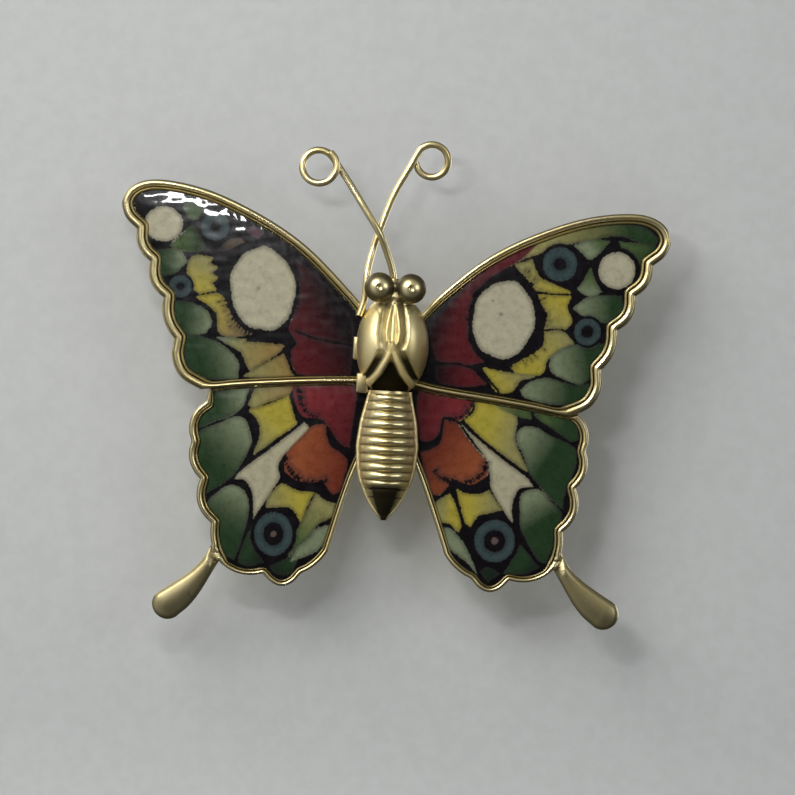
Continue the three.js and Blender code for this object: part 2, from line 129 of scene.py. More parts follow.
class Finish:
    """A node tree of a material or of the surroundings, and one way to add any node to it."""

    def __init__(self, owner):
        owner.use_nodes = True
        self.tree = owner.node_tree
        self.tree.nodes.clear()

    def node(self, kind, settings=None, inputs=None, output=0):
        made = self.tree.nodes.new(kind)
        for key, value in (settings or {}).items():
            setattr(made, key, value)
        for key, value in (inputs or {}).items():
            if isinstance(value, Socket):
                self.tree.links.new(value.socket, made.inputs[key])
            else:
                made.inputs[key].default_value = value
        return Socket(self, made.outputs[output]) if len(made.outputs) else made

    def mix(self, share, first, second):
        """Colour first, turning into colour second as the share goes to 1."""
        return self.node("ShaderNodeMix", {"data_type": "RGBA"}, {0: share, 6: first, 7: second}, 2)

    def noise(self, place, scale, detail=3.0, roughness=0.5):
        return self.node("ShaderNodeTexNoise", None, {"Vector": place, "Scale": scale, "Detail": detail,
                                                      "Roughness": roughness})

    def place(self):
        return self.node("ShaderNodeTexCoord", None, None, 3)

    def bump(self, height, strength, distance):
        return self.node("ShaderNodeBump", None, {"Height": height, "Strength": strength,
                                                  "Distance": distance})


surroundings = bpy.data.worlds.new("surroundings")
bpy.context.scene.world = surroundings
sky = Finish(surroundings)
direction = sky.node("ShaderNodeTexCoord", None, None, 0)
towards = sky.node("ShaderNodeVectorMath", {"operation": "DOT_PRODUCT"},
                   {0: direction, 1: SKY_BRIGHTEST_WAY}, 1)
level = towards.ramp(-0.6, 0.9, *SKY_LEVELS)
ahead = sky.node("ShaderNodeVectorMath", {"operation": "DOT_PRODUCT"},
                 {0: direction, 1: (0.0, -1.0, 0.0)}, 1)
above = sky.node("ShaderNodeVectorMath", {"operation": "DOT_PRODUCT"},
                 {0: direction, 1: (0.0, 0.0, 1.0)}, 1)
level = level * above.ramp(0.6, 0.95, 1.0, SKY_ABOVE)
level = level * ahead.ramp(0.78, 0.96, 1.0, SKY_AHEAD) * ahead.ramp(-0.5, 0.05, SKY_BEHIND, 1.0)
back = sky.node("ShaderNodeBackground", None, {"Color": (0.97, 0.99, 1, 1), "Strength": level})
sky.node("ShaderNodeOutputWorld", None, {0: back})

# ---- floor --------------------------------------------------------------------------------------
# A matt pale sheet that the brooch lies on with its back. It stands just behind the pin, curves
# forwards lower down, and shows from its front only.

SHEET_BACK = 4.0
SHEET_HALF = 420
SHEET_TOP = 300
SHEET_FOOT = -60
SHEET_CURVE = 30
SHEET_FRONT = -420
SHEET_STEPS = 12

sweep = [(SHEET_BACK, SHEET_TOP)]
for i in range(SHEET_STEPS + 1):
    angle = math.radians(90 * i / SHEET_STEPS)
    sweep.append((SHEET_BACK - SHEET_CURVE * (1 - math.cos(angle)),
                  SHEET_FOOT + SHEET_CURVE * (1 - math.sin(angle))))
sweep.append((SHEET_FRONT, SHEET_FOOT))
floor_mesh = bpy.data.meshes.new("floor")
floor_mesh.from_pydata(
    [(x * MM, y * MM, z * MM) for x in (-SHEET_HALF, SHEET_HALF) for y, z in sweep], [],
    [(i, i + 1, i + 1 + len(sweep), i + len(sweep)) for i in range(len(sweep) - 1)])
floor_mesh.shade_smooth()
floor = placed("floor", floor_mesh)
floor.visible_shadow = False
floor.visible_glossy = False

paper = Finish(bpy.data.materials.new("floor_paper"))
place = paper.place()
grain = paper.noise(place, 900.0)
tone = paper.mix(grain.ramp(0.3, 0.7), (0.466, 0.474, 0.471, 1), (0.49, 0.498, 0.496, 1))
matt = paper.node("ShaderNodeBsdfPrincipled", None,
                  {"Base Color": tone, "Roughness": 0.85, "Specular IOR Level": 0.2})
behind = paper.node("ShaderNodeNewGeometry", None, None, 6)
clear = paper.node("ShaderNodeBsdfTransparent")
paper.node("ShaderNodeOutputMaterial", None,
           {0: paper.node("ShaderNodeMixShader", None, {0: behind, 1: matt, 2: clear})})
floor_mesh.materials.append(bpy.data.materials["floor_paper"])

# ---- wing trays -----------------------------------------------------------------------------------
# Four gilt brass trays pressed from thin sheet. The rim of each has a fine lip next to the paint, a
# narrow groove and a rounded outer roll; the hindwings end in solid tails. Groove and brim carry painted
# shade.

WINGS = {
    "forewing": {"back": -1.4, "floor": -1.8, "rim": -2.42, "paint": -2.2},
    "hindwing": {"back": -1.0, "floor": -1.4, "rim": -2.02, "paint": -1.8},
}
RIM_RISE = 0.6
LIP_SHARE = 0.36
RIM_BASE = 0.3
ROLL_DROP = 0.5
RIM_LIMIT = 1.0
LIP_HEIGHT = 0.25
GROOVE_WIDTH = 0.07
GROOVE_DARK = 0.95
BRIM_DARK = 0.5
TAIL_SWELL = 0.35
TAIL_ROUND = 1.45
TAIL_START = 0.75
RIM_STEP = 0.13
TRAY_CREASE = 88


def merged(name):
    """A copy of a frame node's mesh with its loose triangles joined up, in millimetres."""
    mesh = bmesh.new()
    mesh.from_mesh(bpy.data.objects[name].data)
    bmesh.ops.remove_doubles(mesh, verts=mesh.verts, dist=1e-7)
    bmesh.ops.scale(mesh, vec=(1 / MM, 1 / MM, 1 / MM), verts=mesh.verts)
    mesh.normal_update()
    return mesh


def flat_loops(name, level):
    """The closed edges of the node's forward-facing flat faces at this level, as X and Z."""
    mesh = merged(name)
    flat = dict.fromkeys(f for f in mesh.faces
                         if f.normal.y < -0.999 and abs(f.calc_center_median().y - level) < 0.01)
    following = {}
    for face in flat:
        for loop in face.loops:
            if sum(other in flat for other in loop.edge.link_faces) == 1:
                following.setdefault(loop.vert.index, []).append(loop.link_loop_next.vert)
    loops = []
    while following:
        start = next(iter(following))
        chain, here = [], start
        while here in following:
            ahead = following[here].pop()
            if not following[here]:
                del following[here]
            chain.append((ahead.co.x, ahead.co.z))
            here = ahead.index
        loops.append(np.array(chain))
    mesh.free()
    return sorted(loops, key=lambda loop: -abs(area(loop)))


def area(loop):
    x, z = loop.T
    return 0.5 * float(np.sum(x * np.roll(z, -1) - np.roll(x, -1) * z))


def softened(loop, step=RIM_STEP, crease=32):
    """The loop as a smooth curve through its points, keeping the corners sharper than crease."""
    ahead = np.roll(loop, -1, 0) - loop
    ahead /= np.linalg.norm(ahead, axis=1)[:, None]
    turn = np.degrees(np.arccos(np.clip(np.sum(ahead * np.roll(ahead, 1, 0), 1), -1, 1)))
    out = []
    n = len(loop)
    for i in range(n):
        a, b = loop[i], loop[(i + 1) % n]
        length = np.linalg.norm(b - a)
        before = a - (b - a) if turn[i] > crease else loop[i - 1]
        after = b + (b - a) if turn[(i + 1) % n] > crease else loop[(i + 2) % n]
        reach_a = length / max(length, np.linalg.norm(a - before))
        reach_b = length / max(length, np.linalg.norm(after - b))
        leave = (b - before) / (1 + 1 / reach_a) if turn[i] <= crease else b - a
        arrive = (after - a) / (1 + 1 / reach_b) if turn[(i + 1) % n] <= crease else b - a
        count = max(1, int(round(length / step)))
        for t in np.arange(count) / count:
            out.append((2 * t**3 - 3 * t**2 + 1) * a + (t**3 - 2 * t**2 + t) * leave
                       + (3 * t**2 - 2 * t**3) * b + (t**3 - t**2) * arrive)
    return np.array(out)


def away_from(points, loop, closed=True):
    """Distance of each point from the line, and the nearest place on it."""
    a = loop if closed else loop[:-1]
    b = np.roll(loop, -1, 0) if closed else loop[1:]
    run = b - a
    size = np.maximum(np.sum(run * run, 1), 1e-12)
    gap = np.empty(len(points))
    near = np.empty((len(points), 2))
    for i in range(0, len(points), 4000):
        p = points[i:i + 4000, None]
        t = np.clip(np.sum((p - a) * run, 2) / size, 0, 1)
        spot = a + t[..., None] * run
        d = np.linalg.norm(p - spot, axis=2)
        best = np.argmin(d, 1)
        rows = np.arange(len(best))
        gap[i:i + 4000] = d[rows, best]
        near[i:i + 4000] = spot[rows, best]
    return gap, near


def within(points, loops):
    """True for the points that lie inside an odd number of the loops."""
    inside = np.zeros(len(points), bool)
    x, z = points[:, 0], points[:, 1]
    for loop in loops:
        for (x0, z0), (x1, z1) in zip(loop, np.roll(loop, -1, 0)):
            if z0 != z1:
                inside ^= ((z0 > z) != (z1 > z)) & (x < (x1 - x0) * (z - z0) / (z1 - z0) + x0)
    return inside


def faces_between(loops, extra):
    """Triangles over the region that the loops bound, through the extra points as well."""
    points, edges = [], []
    for loop in loops:
        first = len(points)
        points += [tuple(p) for p in loop]
        edges += [(first + i, first + (i + 1) % len(loop)) for i in range(len(loop))]
    points += [tuple(p) for p in extra]
    found = geometry.delaunay_2d_cdt([Vector(p) for p in points], edges, [], 0, 1e-6)
    corners = np.array([tuple(p) for p in found[0]])
    tris = np.array([f for f in found[2] if len(f) == 3])
    tris = tris[within(corners[tris].mean(1), loops)]
    sides = corners[tris]
    u, v = sides[:, 1] - sides[:, 0], sides[:, 2] - sides[:, 0]
    flipped = u[:, 0] * v[:, 1] - u[:, 1] * v[:, 0] < 0
    tris[flipped] = tris[flipped][:, ::-1]
    return corners, tris


def slab(corners, tris, front, back):
    """A closed shell: a shaped front over the triangles, a flat back and walls between them."""
    n = len(corners)
    points = np.concatenate([np.column_stack([corners[:, 0], front, corners[:, 1]]),
                             np.column_stack([corners[:, 0], np.full(n, back), corners[:, 1]])])
    sides = {}
    for t in tris:
        for i, j in ((t[0], t[1]), (t[1], t[2]), (t[2], t[0])):
            sides[(i, j)] = True
    walls = [(i, i + n, j + n, j) for i, j in sides if (j, i) not in sides]
    faces = [tuple(t) for t in tris] + [tuple(t[::-1] + n) for t in tris] + walls
    return points, faces


def piece_of(name, shells, material, soft=40):
    """One object from closed shells of points in millimetres and faces."""
    points, faces = [], []
    for shell_points, shell_faces in shells:
        first = len(points)
        points += [tuple(float(v) * MM for v in p) for p in shell_points]
        faces += [tuple(int(v) + first for v in f) for f in shell_faces]
    mesh = bpy.data.meshes.new(name)
    mesh.from_pydata(points, [], faces)
    work = bmesh.new()
    work.from_mesh(mesh)
    loose = [v for v in work.verts if not v.link_faces]
    bmesh.ops.delete(work, geom=loose, context="VERTS")
    work.to_mesh(mesh)
    work.free()
    mesh.shade_smooth()
    mesh.set_sharp_from_angle(angle=math.radians(soft))
    mesh.materials.append(material)
    return placed(name, mesh)


def mark(item, name, values):
    """Stores one number for each point of a piece, for its finish."""
    made = item.data.attributes.new(name, "FLOAT", "POINT")
    made.data.foreach_set("value", np.asarray(values, dtype=float))


def rim_painted_shade(inner, outer):
    """Painted shade: the darkening in the groove and round the outer brim."""
    share = inner / np.maximum(np.minimum(inner + outer, RIM_LIMIT), 1e-6)
    groove = np.exp(-((share - LIP_SHARE - 0.005) / GROOVE_WIDTH) ** 2)
    brim = np.clip((share - 0.72) / 0.2, 0, 1)
    return np.clip(GROOVE_DARK * groove * (inner < 1.2) + BRIM_DARK * brim, 0, 1)


def rim_height(inner, outer, front):
    """How far forward a rim stands, from the distances to the paint and to the outer edge."""
    share = inner / np.maximum(np.minimum(inner + outer, RIM_LIMIT), 1e-6)
    lip = RIM_BASE - LIP_HEIGHT * np.sin(np.pi * np.clip(share / LIP_SHARE, 0, 1)) ** 1.5
    across = np.clip((share - LIP_SHARE) / (1 - LIP_SHARE), 0, 1)
    foot = RIM_BASE + (ROLL_DROP - RIM_BASE) * across
    roll = foot * (1 - np.sqrt(1 - np.abs(2 * across - 1) ** 2.3))
    rim = np.where(share < LIP_SHARE, lip, roll)
    round_in = np.clip(outer / TAIL_ROUND, 0, 1)
    body = ROLL_DROP - (ROLL_DROP + TAIL_SWELL) * np.sqrt(1 - (1 - round_in) ** 2)
    tail = np.clip(inner - TAIL_START, 0, 1)
    tail = tail * tail * (3 - 2 * tail)
    return front + rim * (1 - tail) + body * tail


def fanned(loop, inwards):
    """Points on the loop with directions across it, several where it turns sharply."""
    ahead = np.roll(loop, -1, 0) - loop
    ahead /= np.linalg.norm(ahead, axis=1)[:, None]
    normal = inwards * np.column_stack([-ahead[:, 1], ahead[:, 0]])
    before = np.roll(normal, 1, 0)
    rows = []
    for p, a, b in zip(loop, before, normal):
        bend = math.acos(max(-1, min(1, float(a @ b))))
        count = max(1, int(bend / 0.25))
        for i in range(count):
            t = (i + 0.5) / count
            d = a * (1 - t) + b * t
            rows.append((p, d / np.linalg.norm(d)))
    return np.array([r[0] for r in rows]), np.array([r[1] for r in rows])


def rim_points(outer, inner):
    """Rows of points that follow the rim, close together where its profile turns."""
    loops = [outer, inner]
    rows = []
    for loop, other, shares in (
            (inner, outer, (0.03, 0.07, 0.12, 0.18, 0.24, 0.29, 0.33, 0.36, 0.39, 0.44)),
            (outer, inner, (0.01, 0.03, 0.07, 0.12, 0.18, 0.26, 0.35, 0.45))):
        inwards = 1 if area(loop) > 0 else -1
        if loop is inner:
            inwards = -inwards
        start, way = fanned(loop, inwards)
        width = np.minimum(away_from(start, other)[0], RIM_LIMIT)
        for share in shares:
            rows.append(start + way * (width * share)[:, None])
    points = np.concatenate(rows)
    points = points[within(points, loops)]
    gap = np.minimum(away_from(points, outer)[0], away_from(points, inner)[0])
    points = points[gap > 0.006]
    keep = {}
    for p in points:
        keep.setdefault((round(p[0] / 0.028), round(p[1] / 0.028)), p)
    return np.array(list(keep.values()))


def filled(loops, step, margin):
    """An even field of points inside the loops, clear of them by the margin."""
    low = np.min([loop.min(0) for loop in loops], 0)
    high = np.max([loop.max(0) for loop in loops], 0)
    rows = []
    for j, z in enumerate(np.arange(low[1], high[1], step * 0.866)):
        xs = np.arange(low[0] + (j % 2) * step / 2, high[0], step)
        rows.append(np.column_stack([xs, np.full(len(xs), z)]))
    points = np.concatenate(rows)
    points = points[within(points, loops)]
    for loop in loops:
        points = points[away_from(points, loop)[0] > margin]
    return points


def linear(red, green, blue):
    """A colour given as it looks on a screen, from 0 to 1, as the light it sends back."""
    shown = (red, green, blue)
    return tuple(v / 12.92 if v < 0.04 else ((v + 0.055) / 1.055) ** 2.4 for v in shown) + (1,)


gilt_material = bpy.data.materials.new("gilt_brass_finish")
gilt = Finish(gilt_material)
place = gilt.place()
cloud = gilt.noise(place, 260.0, 4.0)
fine = gilt.noise(place, 1900.0, 2.0)
painted_shade = gilt.node("ShaderNodeAttribute", {"attribute_name": "painted_shade"}, None, 2)
scratch_place = gilt.node("ShaderNodeMapping", None, {"Vector": place, "Scale": (1.0, 1.0, 0.12),
                                                      "Rotation": (0.2, 0.5, 0.3)})
scratch = gilt.noise(scratch_place, 5200.0, 2.0)
gold = gilt.mix(cloud.ramp(0.35, 0.7), linear(0.94, 0.88, 0.68), linear(0.88, 0.81, 0.58))
pits = gilt.noise(place, 1300.0, 1.0).ramp(0.70, 0.76)
gold = gilt.mix(pits * 0.25, gold, linear(0.33, 0.26, 0.14))
# Painted shade: the gold turns near-black where a piece is marked with painted shade, and it is rougher
# there too.
gold = gilt.mix(painted_shade, gold, linear(0.10, 0.08, 0.05))
matt = gilt.node("ShaderNodeAttribute", {"attribute_name": "matt"}, None, 2)
rough = cloud.ramp(0.3, 0.75, 0.25, 0.34) + matt + scratch.ramp(0.4, 0.75, 0.0, 0.03) + painted_shade * 0.25
relief = fine * 0.5 + scratch * 0.08 + pits * -0.3
shine = gilt.node("ShaderNodeBsdfPrincipled", None, {
    "Base Color": gold, "Metallic": 1.0, "Roughness": rough,
    "Normal": gilt.bump(relief, 0.16, 0.00006)})
gilt.node("ShaderNodeOutputMaterial", None, {0: shine})

for wing, level in WINGS.items():
    for side in ("left", "right"):
        node = f"{wing}_tray_{side}"
        outer, inner = flat_loops(node, level["floor"] - RIM_RISE)
        outer, inner = softened(outer), softened(inner, crease=TRAY_CREASE)
        corners, tris = faces_between([outer, inner], rim_points(outer, inner))
        to_inner = away_from(corners, inner)[0]
        to_outer = away_from(corners, outer)[0]
        shells = [slab(corners, tris, rim_height(to_inner, to_outer, level["rim"]), level["back"])]
        dark = rim_painted_shade(to_inner, to_outer)
        base = [softened(loop, crease=TRAY_CREASE) for loop in flat_loops(node, level["floor"])]
        corners, tris = faces_between(base, np.empty((0, 2)))
        shells.append(slab(corners, tris, np.full(len(corners), level["floor"]), level["back"]))
        tray = piece_of(f"{wing}_rim_{side}", shells, gilt_material)
        mark(tray, "painted_shade", np.concatenate([dark, np.zeros(len(tray.data.vertices) - len(dark))]))
        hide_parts(node)
        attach(tray, "brooch")

# ---- painted wings ----------------------------------------------------------------------------------
# Glazed enamel, poured level with the lip and painted by hand: cells of colour that fade from edge
# to edge, parted by black lines with feathered edges, under a clear gloss coat.

ENAMEL_DEPTH = 0.45
PAINT_STEP = 0.12
PAINT_MARGIN = 0.06
PAINT_SEED = 7
PAINT_CROWN = 0.12
PAINT_EDGE = 1.1
CELL_EDGE = 0.12
CELL_BLEED = 0.3
CELL_GROWTH = {"yellow": 0.1, "straw": 0.1, "amber": 0.1, "clay": 0.1, "green": 0.05, "moss": 0.06,
               "olive": 0.06, "sage": 0.04, "wine": 0.08}
FADE = {"green": 1.8, "moss": 1.4}
RIPPLE_LENGTH = (0.55, 1.9)
RIPPLE_SLOPE = 0.0016
RIPPLE_WAVES = 18
RIPPLE_SEED = 11

PAINTS = {
    "cream": linear(0.69, 0.67, 0.57), "linen": linear(0.67, 0.65, 0.54),
    "yellow": linear(0.65, 0.60, 0.22), "straw": linear(0.55, 0.53, 0.33),
    "amber": linear(0.55, 0.46, 0.26), "clay": linear(0.50, 0.42, 0.31),
    "green": linear(0.14, 0.23, 0.13), "pine": linear(0.09, 0.15, 0.10),
    "moss": linear(0.28, 0.36, 0.20), "sage": linear(0.47, 0.51, 0.40),
    "olive": linear(0.19, 0.25, 0.15), "rose": linear(0.47, 0.15, 0.17),
    "wine": linear(0.34, 0.10, 0.12), "umber": linear(0.19, 0.09, 0.09),
    "soot": linear(0.07, 0.04, 0.05), "mauve": linear(0.32, 0.20, 0.24),
    "taupe": linear(0.40, 0.35, 0.29), "orange": linear(0.55, 0.29, 0.17),
    "rust": linear(0.42, 0.18, 0.12), "blue": linear(0.24, 0.31, 0.31),
    "slate": linear(0.14, 0.19, 0.20), "pink": linear(0.42, 0.35, 0.33),
}


class Painting:
    """Paint on a field of points: a colour, and how far each point is inside its cell."""

    def __init__(self, points, seed):
        self.points = points
        self.colour = np.tile(np.array(PAINTS["soot"]), (len(points), 1))
        self.clear = np.full(len(points), -1.0)
        self.waver = np.random.default_rng(seed)

    def inside(self, outline):
        gap = away_from(self.points, outline)[0]
        return np.where(within(self.points, [outline]), gap, -gap)

    def lay(self, depth, first, second, share):
        depth = depth + CELL_GROWTH.get(first, 0)
        share = np.clip(share, 0, 1)[:, None] ** FADE.get(first, 1)
        colour = np.array(PAINTS[first]) * (1 - share) + np.array(PAINTS[second]) * share
        cover = np.clip(depth / CELL_EDGE + 0.5, 0, 1)[:, None]
        near = (depth > -CELL_BLEED)[:, None]
        cover = np.where(self.clear[:, None] < 0.04, near, cover)
        self.colour = np.where(near, self.colour * (1 - cover) + colour * cover, self.colour)
        self.clear = np.maximum(self.clear, depth)

    def cell(self, first, second, start, end, outline):
        outline = softened(np.array(outline), 0.2, 75)
        run = np.array(end) - np.array(start)
        share = (self.points - np.array(start)) @ run / float(run @ run)
        self.lay(self.inside(outline), first, second, share)

    def round(self, first, second, centre, across, up=None, tilt=0, wave=0):
        angle = math.radians(tilt)
        dx, dz = (self.points - np.array(centre)).T
        u = (dx * math.cos(angle) + dz * math.sin(angle)) / across
        v = (dz * math.cos(angle) - dx * math.sin(angle)) / (up or across)
        wobble = wave * (np.sin(5 * np.arctan2(v, u) + 1) + 0.7 * np.sin(9 * np.arctan2(v, u) + 2))
        depth = (1 + wobble - np.hypot(u, v)) * across
        self.lay(depth, first, second, np.hypot(u, v))

    def black(self, centre, radius, up=None):
        dx, dz = (self.points - np.array(centre)).T
        self.clear = np.minimum(self.clear, (np.hypot(dx, dz / ((up or radius) / radius)) - radius))

    def line(self, half, *path):
        gap = away_from(self.points, np.array(path), closed=False)[0]
        self.clear = np.minimum(self.clear, gap - half)

    def fringe(self, centre, across, up, length, start, end):
        """Fine brush strokes outwards from an oval, between two directions in degrees."""
        angle = start
        while angle < end:
            a = math.radians(angle)
            way = np.array([math.cos(a), math.sin(a)])
            foot = np.array(centre) + way * (across, up)
            tip = foot + way * length * self.waver.uniform(0.3, 1.0)
            self.line(self.waver.uniform(0.06, 0.12), foot, foot * 0.5 + tip * 0.5)
            self.line(0.03, foot, tip)
            angle += self.waver.uniform(3, 7)


def ripples(points):
    """The slight orange peel of the fired glaze, as shallow waves in many directions."""
    chance = np.random.default_rng(RIPPLE_SEED)
    height = np.zeros(len(points))
    for i in range(RIPPLE_WAVES):
        length = chance.uniform(*RIPPLE_LENGTH)
        angle = chance.uniform(0, math.pi)
        wave = (points @ np.array([math.cos(angle), math.sin(angle)])) * 2 * math.pi / length
        height += RIPPLE_SLOPE * length * np.sin(wave + chance.uniform(0, 2 * math.pi))
    return height


def oval(painting, centre, across, up, tilt, ring):
    """A big cream spot with its black ring."""
    painting.black(centre, across + ring, up + ring)
    painting.round("cream", "cream", centre, across, up, tilt, 0.018)


def eye(painting, centre, ring, pupil, up=1.0, dot=0):
    painting.black(centre, ring * 1.22, ring * 1.22 * up)
    painting.round("slate", "blue", centre, ring, ring * up)
    painting.black(centre, pupil, pupil * up)
    if dot:
        painting.round("pink", "pink", centre, dot)


FORE_LEFT_CELLS = [
    ("wine", "soot", (-8.7, 4), (-4.5, 6), [(-9, 12.2), (-7, 10.7), (-5, 8.6), (-3.7, 6.6), (-3.7, 2),
        (-8.4, 2), (-9.1, 3.9), (-8.6, 4.7), (-9.4, 6), (-8.8, 8), (-9.2, 10)]),
    ("mauve", "mauve", (-13.5, 14.8), (-12.3, 13.9), [(-13.8, 14.6), (-13, 15.1), (-12.2, 14.5),
        (-12.7, 13.9)]),
    ("taupe", "soot", (-14.3, 13.8), (-16.4, 12.4), [(-16.4, 12.7), (-15.4, 13.7), (-14.3, 14),
        (-13.9, 13.6), (-15.4, 12.8)]),
    ("straw", "yellow", (-17.4, 11.6), (-18, 9), [(-18.9, 10.6), (-18.4, 12.1), (-16.7, 12), (-17, 11.5),
        (-16.3, 11.2), (-16.8, 10.7), (-16.2, 10.2), (-16.8, 9.8), (-16.3, 9.2), (-17.9, 8.9)]),
    ("yellow", "clay", (-17.3, 8.4), (-13, 5.6), [(-17.9, 8.4), (-15.9, 8.7), (-14.7, 7.2), (-12.2, 5.5),
        (-14.8, 5), (-15.8, 5.5), (-16, 7), (-17, 7.9)]),
    ("moss", "olive", (-20.1, 12.9), (-18.3, 13), [(-20.6, 13), (-18.7, 14.9), (-17.5, 13.1),
        (-18, 12.5), (-20.1, 12.7)]),
    ("olive", "moss", (-18.7, 17), (-18.6, 15.6), [(-19.5, 17.4), (-18.7, 17.2), (-17.8, 16.4),
        (-18.3, 15.5), (-19, 15.6), (-19.5, 16.4)]),
    ("green", "sage", (-21.2, 11.3), (-19.4, 11.9), [(-21.8, 12.5), (-19.8, 12.6), (-19, 11.7),
        (-19.9, 10.6), (-21, 10.2), (-21.7, 11.3)]),
    ("green", "sage", (-19.4, 6.4), (-16.7, 6.2), [(-20.2, 7.9), (-18.6, 7.9), (-17, 7.2), (-16.5, 6.1),
        (-17.1, 5.2), (-18.8, 5), (-19.8, 6)]),
    ("green", "sage", (-17.3, 2.3), (-14, 3.4), [(-18.8, 5), (-17.2, 4.8), (-15.3, 4.1), (-13.9, 2.7),
        (-13.9, 1.2), (-16.8, 1.1), (-18.3, 2), (-18.9, 3.7)]),
    ("amber", "straw", (-11, 3.7), (-13.8, 4.1), [(-14, 4.5), (-11.8, 4.5), (-9.9, 4.4), (-10.4, 3.7),
        (-12.8, 2.1), (-13.3, 3.1)]),
    ("straw", "amber", (-12.2, 1.9), (-9.8, 3.1), [(-12.4, 2.1), (-9.8, 3.6), (-9.4, 2.6), (-8.9, 1.7),
        (-11, 1.5), (-13.2, 1.5)]),
    ("sage", "straw", (-15.3, 4.7), (-13.8, 4), [(-16, 4.9), (-13.3, 4.8), (-13.7, 3.7), (-14.6, 4.1)]),
]
FORE_RIGHT_CELLS = [
    ("straw", "green", (13.8, 14.8), (21, 16.3), [(10.9, 13.3), (12, 14.6), (13.3, 15.6), (17.4, 16.7),
        (20.1, 17), (22.4, 16.7), (23.5, 15.7), (23.2, 15.1), (20.1, 16), (17, 15.4), (14.7, 14.8),
        (12.5, 13.9)]),
    ("wine", "umber", (9.4, 12.8), (4.6, 8.9), [(4.4, 8.3), (6.3, 10.6), (9.3, 13.3), (13.2, 15.8),
        (12.3, 14.5), (11, 13.2), (8.6, 11.7), (7.2, 10.3), (5.6, 8.9)]),
    ("wine", "soot", (5.6, 5.7), (3.3, 6.2), [(3.4, 7.3), (4.8, 8.5), (6.6, 10.3), (7.2, 9), (6.7, 6.2),
        (7.4, 4.7), (8.3, 3.9), (6.7, 3.6), (4.4, 3.7), (3.6, 5.2)]),
    ("wine", "soot", (6.9, 2.5), (4.1, 2.6), [(4, 3.2), (6.2, 3.4), (7.4, 3), (8.6, 1.9), (6.8, 1.6),
        (4.4, 1.9)]),
    ("straw", "yellow", (11.6, 12.8), (15, 10.6), [(10.8, 12.8), (12.2, 13.3), (12.6, 12.4),
        (13.1, 11.7), (15.8, 10.6), (13.6, 10.4), (12.7, 10.8), (12, 11.6)]),
    ("yellow", "straw", (14.8, 9.9), (13.9, 7.2), [(13, 10.2), (15.9, 10.2), (15.6, 9.2), (16.1, 7.9),
        (15.3, 7.2), (13.8, 7.2), (14, 8.5), (13.6, 9.1)]),
    ("straw", "yellow", (15.6, 6.3), (12.6, 3.8), [(13.8, 7), (15.4, 6.9), (16.4, 6), (14.9, 5.2),
        (14, 4.3), (13.6, 3.1), (11.5, 3), (10.9, 3.6), (12.4, 4.5), (13.7, 5.6)]),
    ("straw", "yellow", (11.8, 2.7), (9.7, 1.6), [(8.4, 3.3), (10.3, 3), (13, 2.8), (11.7, 2.4),
        (11, 1.4), (9.7, 1.3), (9, 2.2)]),
    ("sage", "moss", (17.7, 14.4), (18.5, 15.1), [(16, 14.9), (17.9, 15.5), (19.2, 15.4), (18.4, 14.4),
        (17.5, 13.7), (16.7, 14.3)]),
    ("moss", "green", (20.9, 15), (22.9, 14.1), [(20.1, 15.4), (23.4, 15.2), (23, 13.7), (22.2, 13.3),
        (21.3, 14), (20.5, 14.7)]),
    ("moss", "sage", (17.6, 12.3), (17.2, 10.7), [(16.5, 10.9), (17.1, 11.8), (17.6, 13), (18, 11.8),
        (18.7, 10.8), (17.7, 10.3)]),
    ("sage", "green", (16.8, 9.2), (19.7, 9.4), [(16.2, 9.2), (17.7, 10.3), (20.5, 10.5), (20.8, 9),
        (19.8, 8), (17.3, 8.5)]),
    ("sage", "green", (14.9, 4), (17.8, 4.5), [(14.5, 3.4), (14.5, 4.6), (15.6, 5.6), (17.9, 6),
        (19.3, 6.1), (18.9, 4.8), (18.1, 3.1), (17.2, 2.3), (15.7, 2.7)]),
    ("sage", "green", (12.3, 1.7), (16.2, 1.5), [(11.8, 1.5), (12.7, 2.3), (14.3, 2.7), (16.5, 2.2),
        (18.2, 2.4), (17.9, 1.3), (16.8, 0.5), (14.6, 0.4), (12.2, 0.9)]),
]
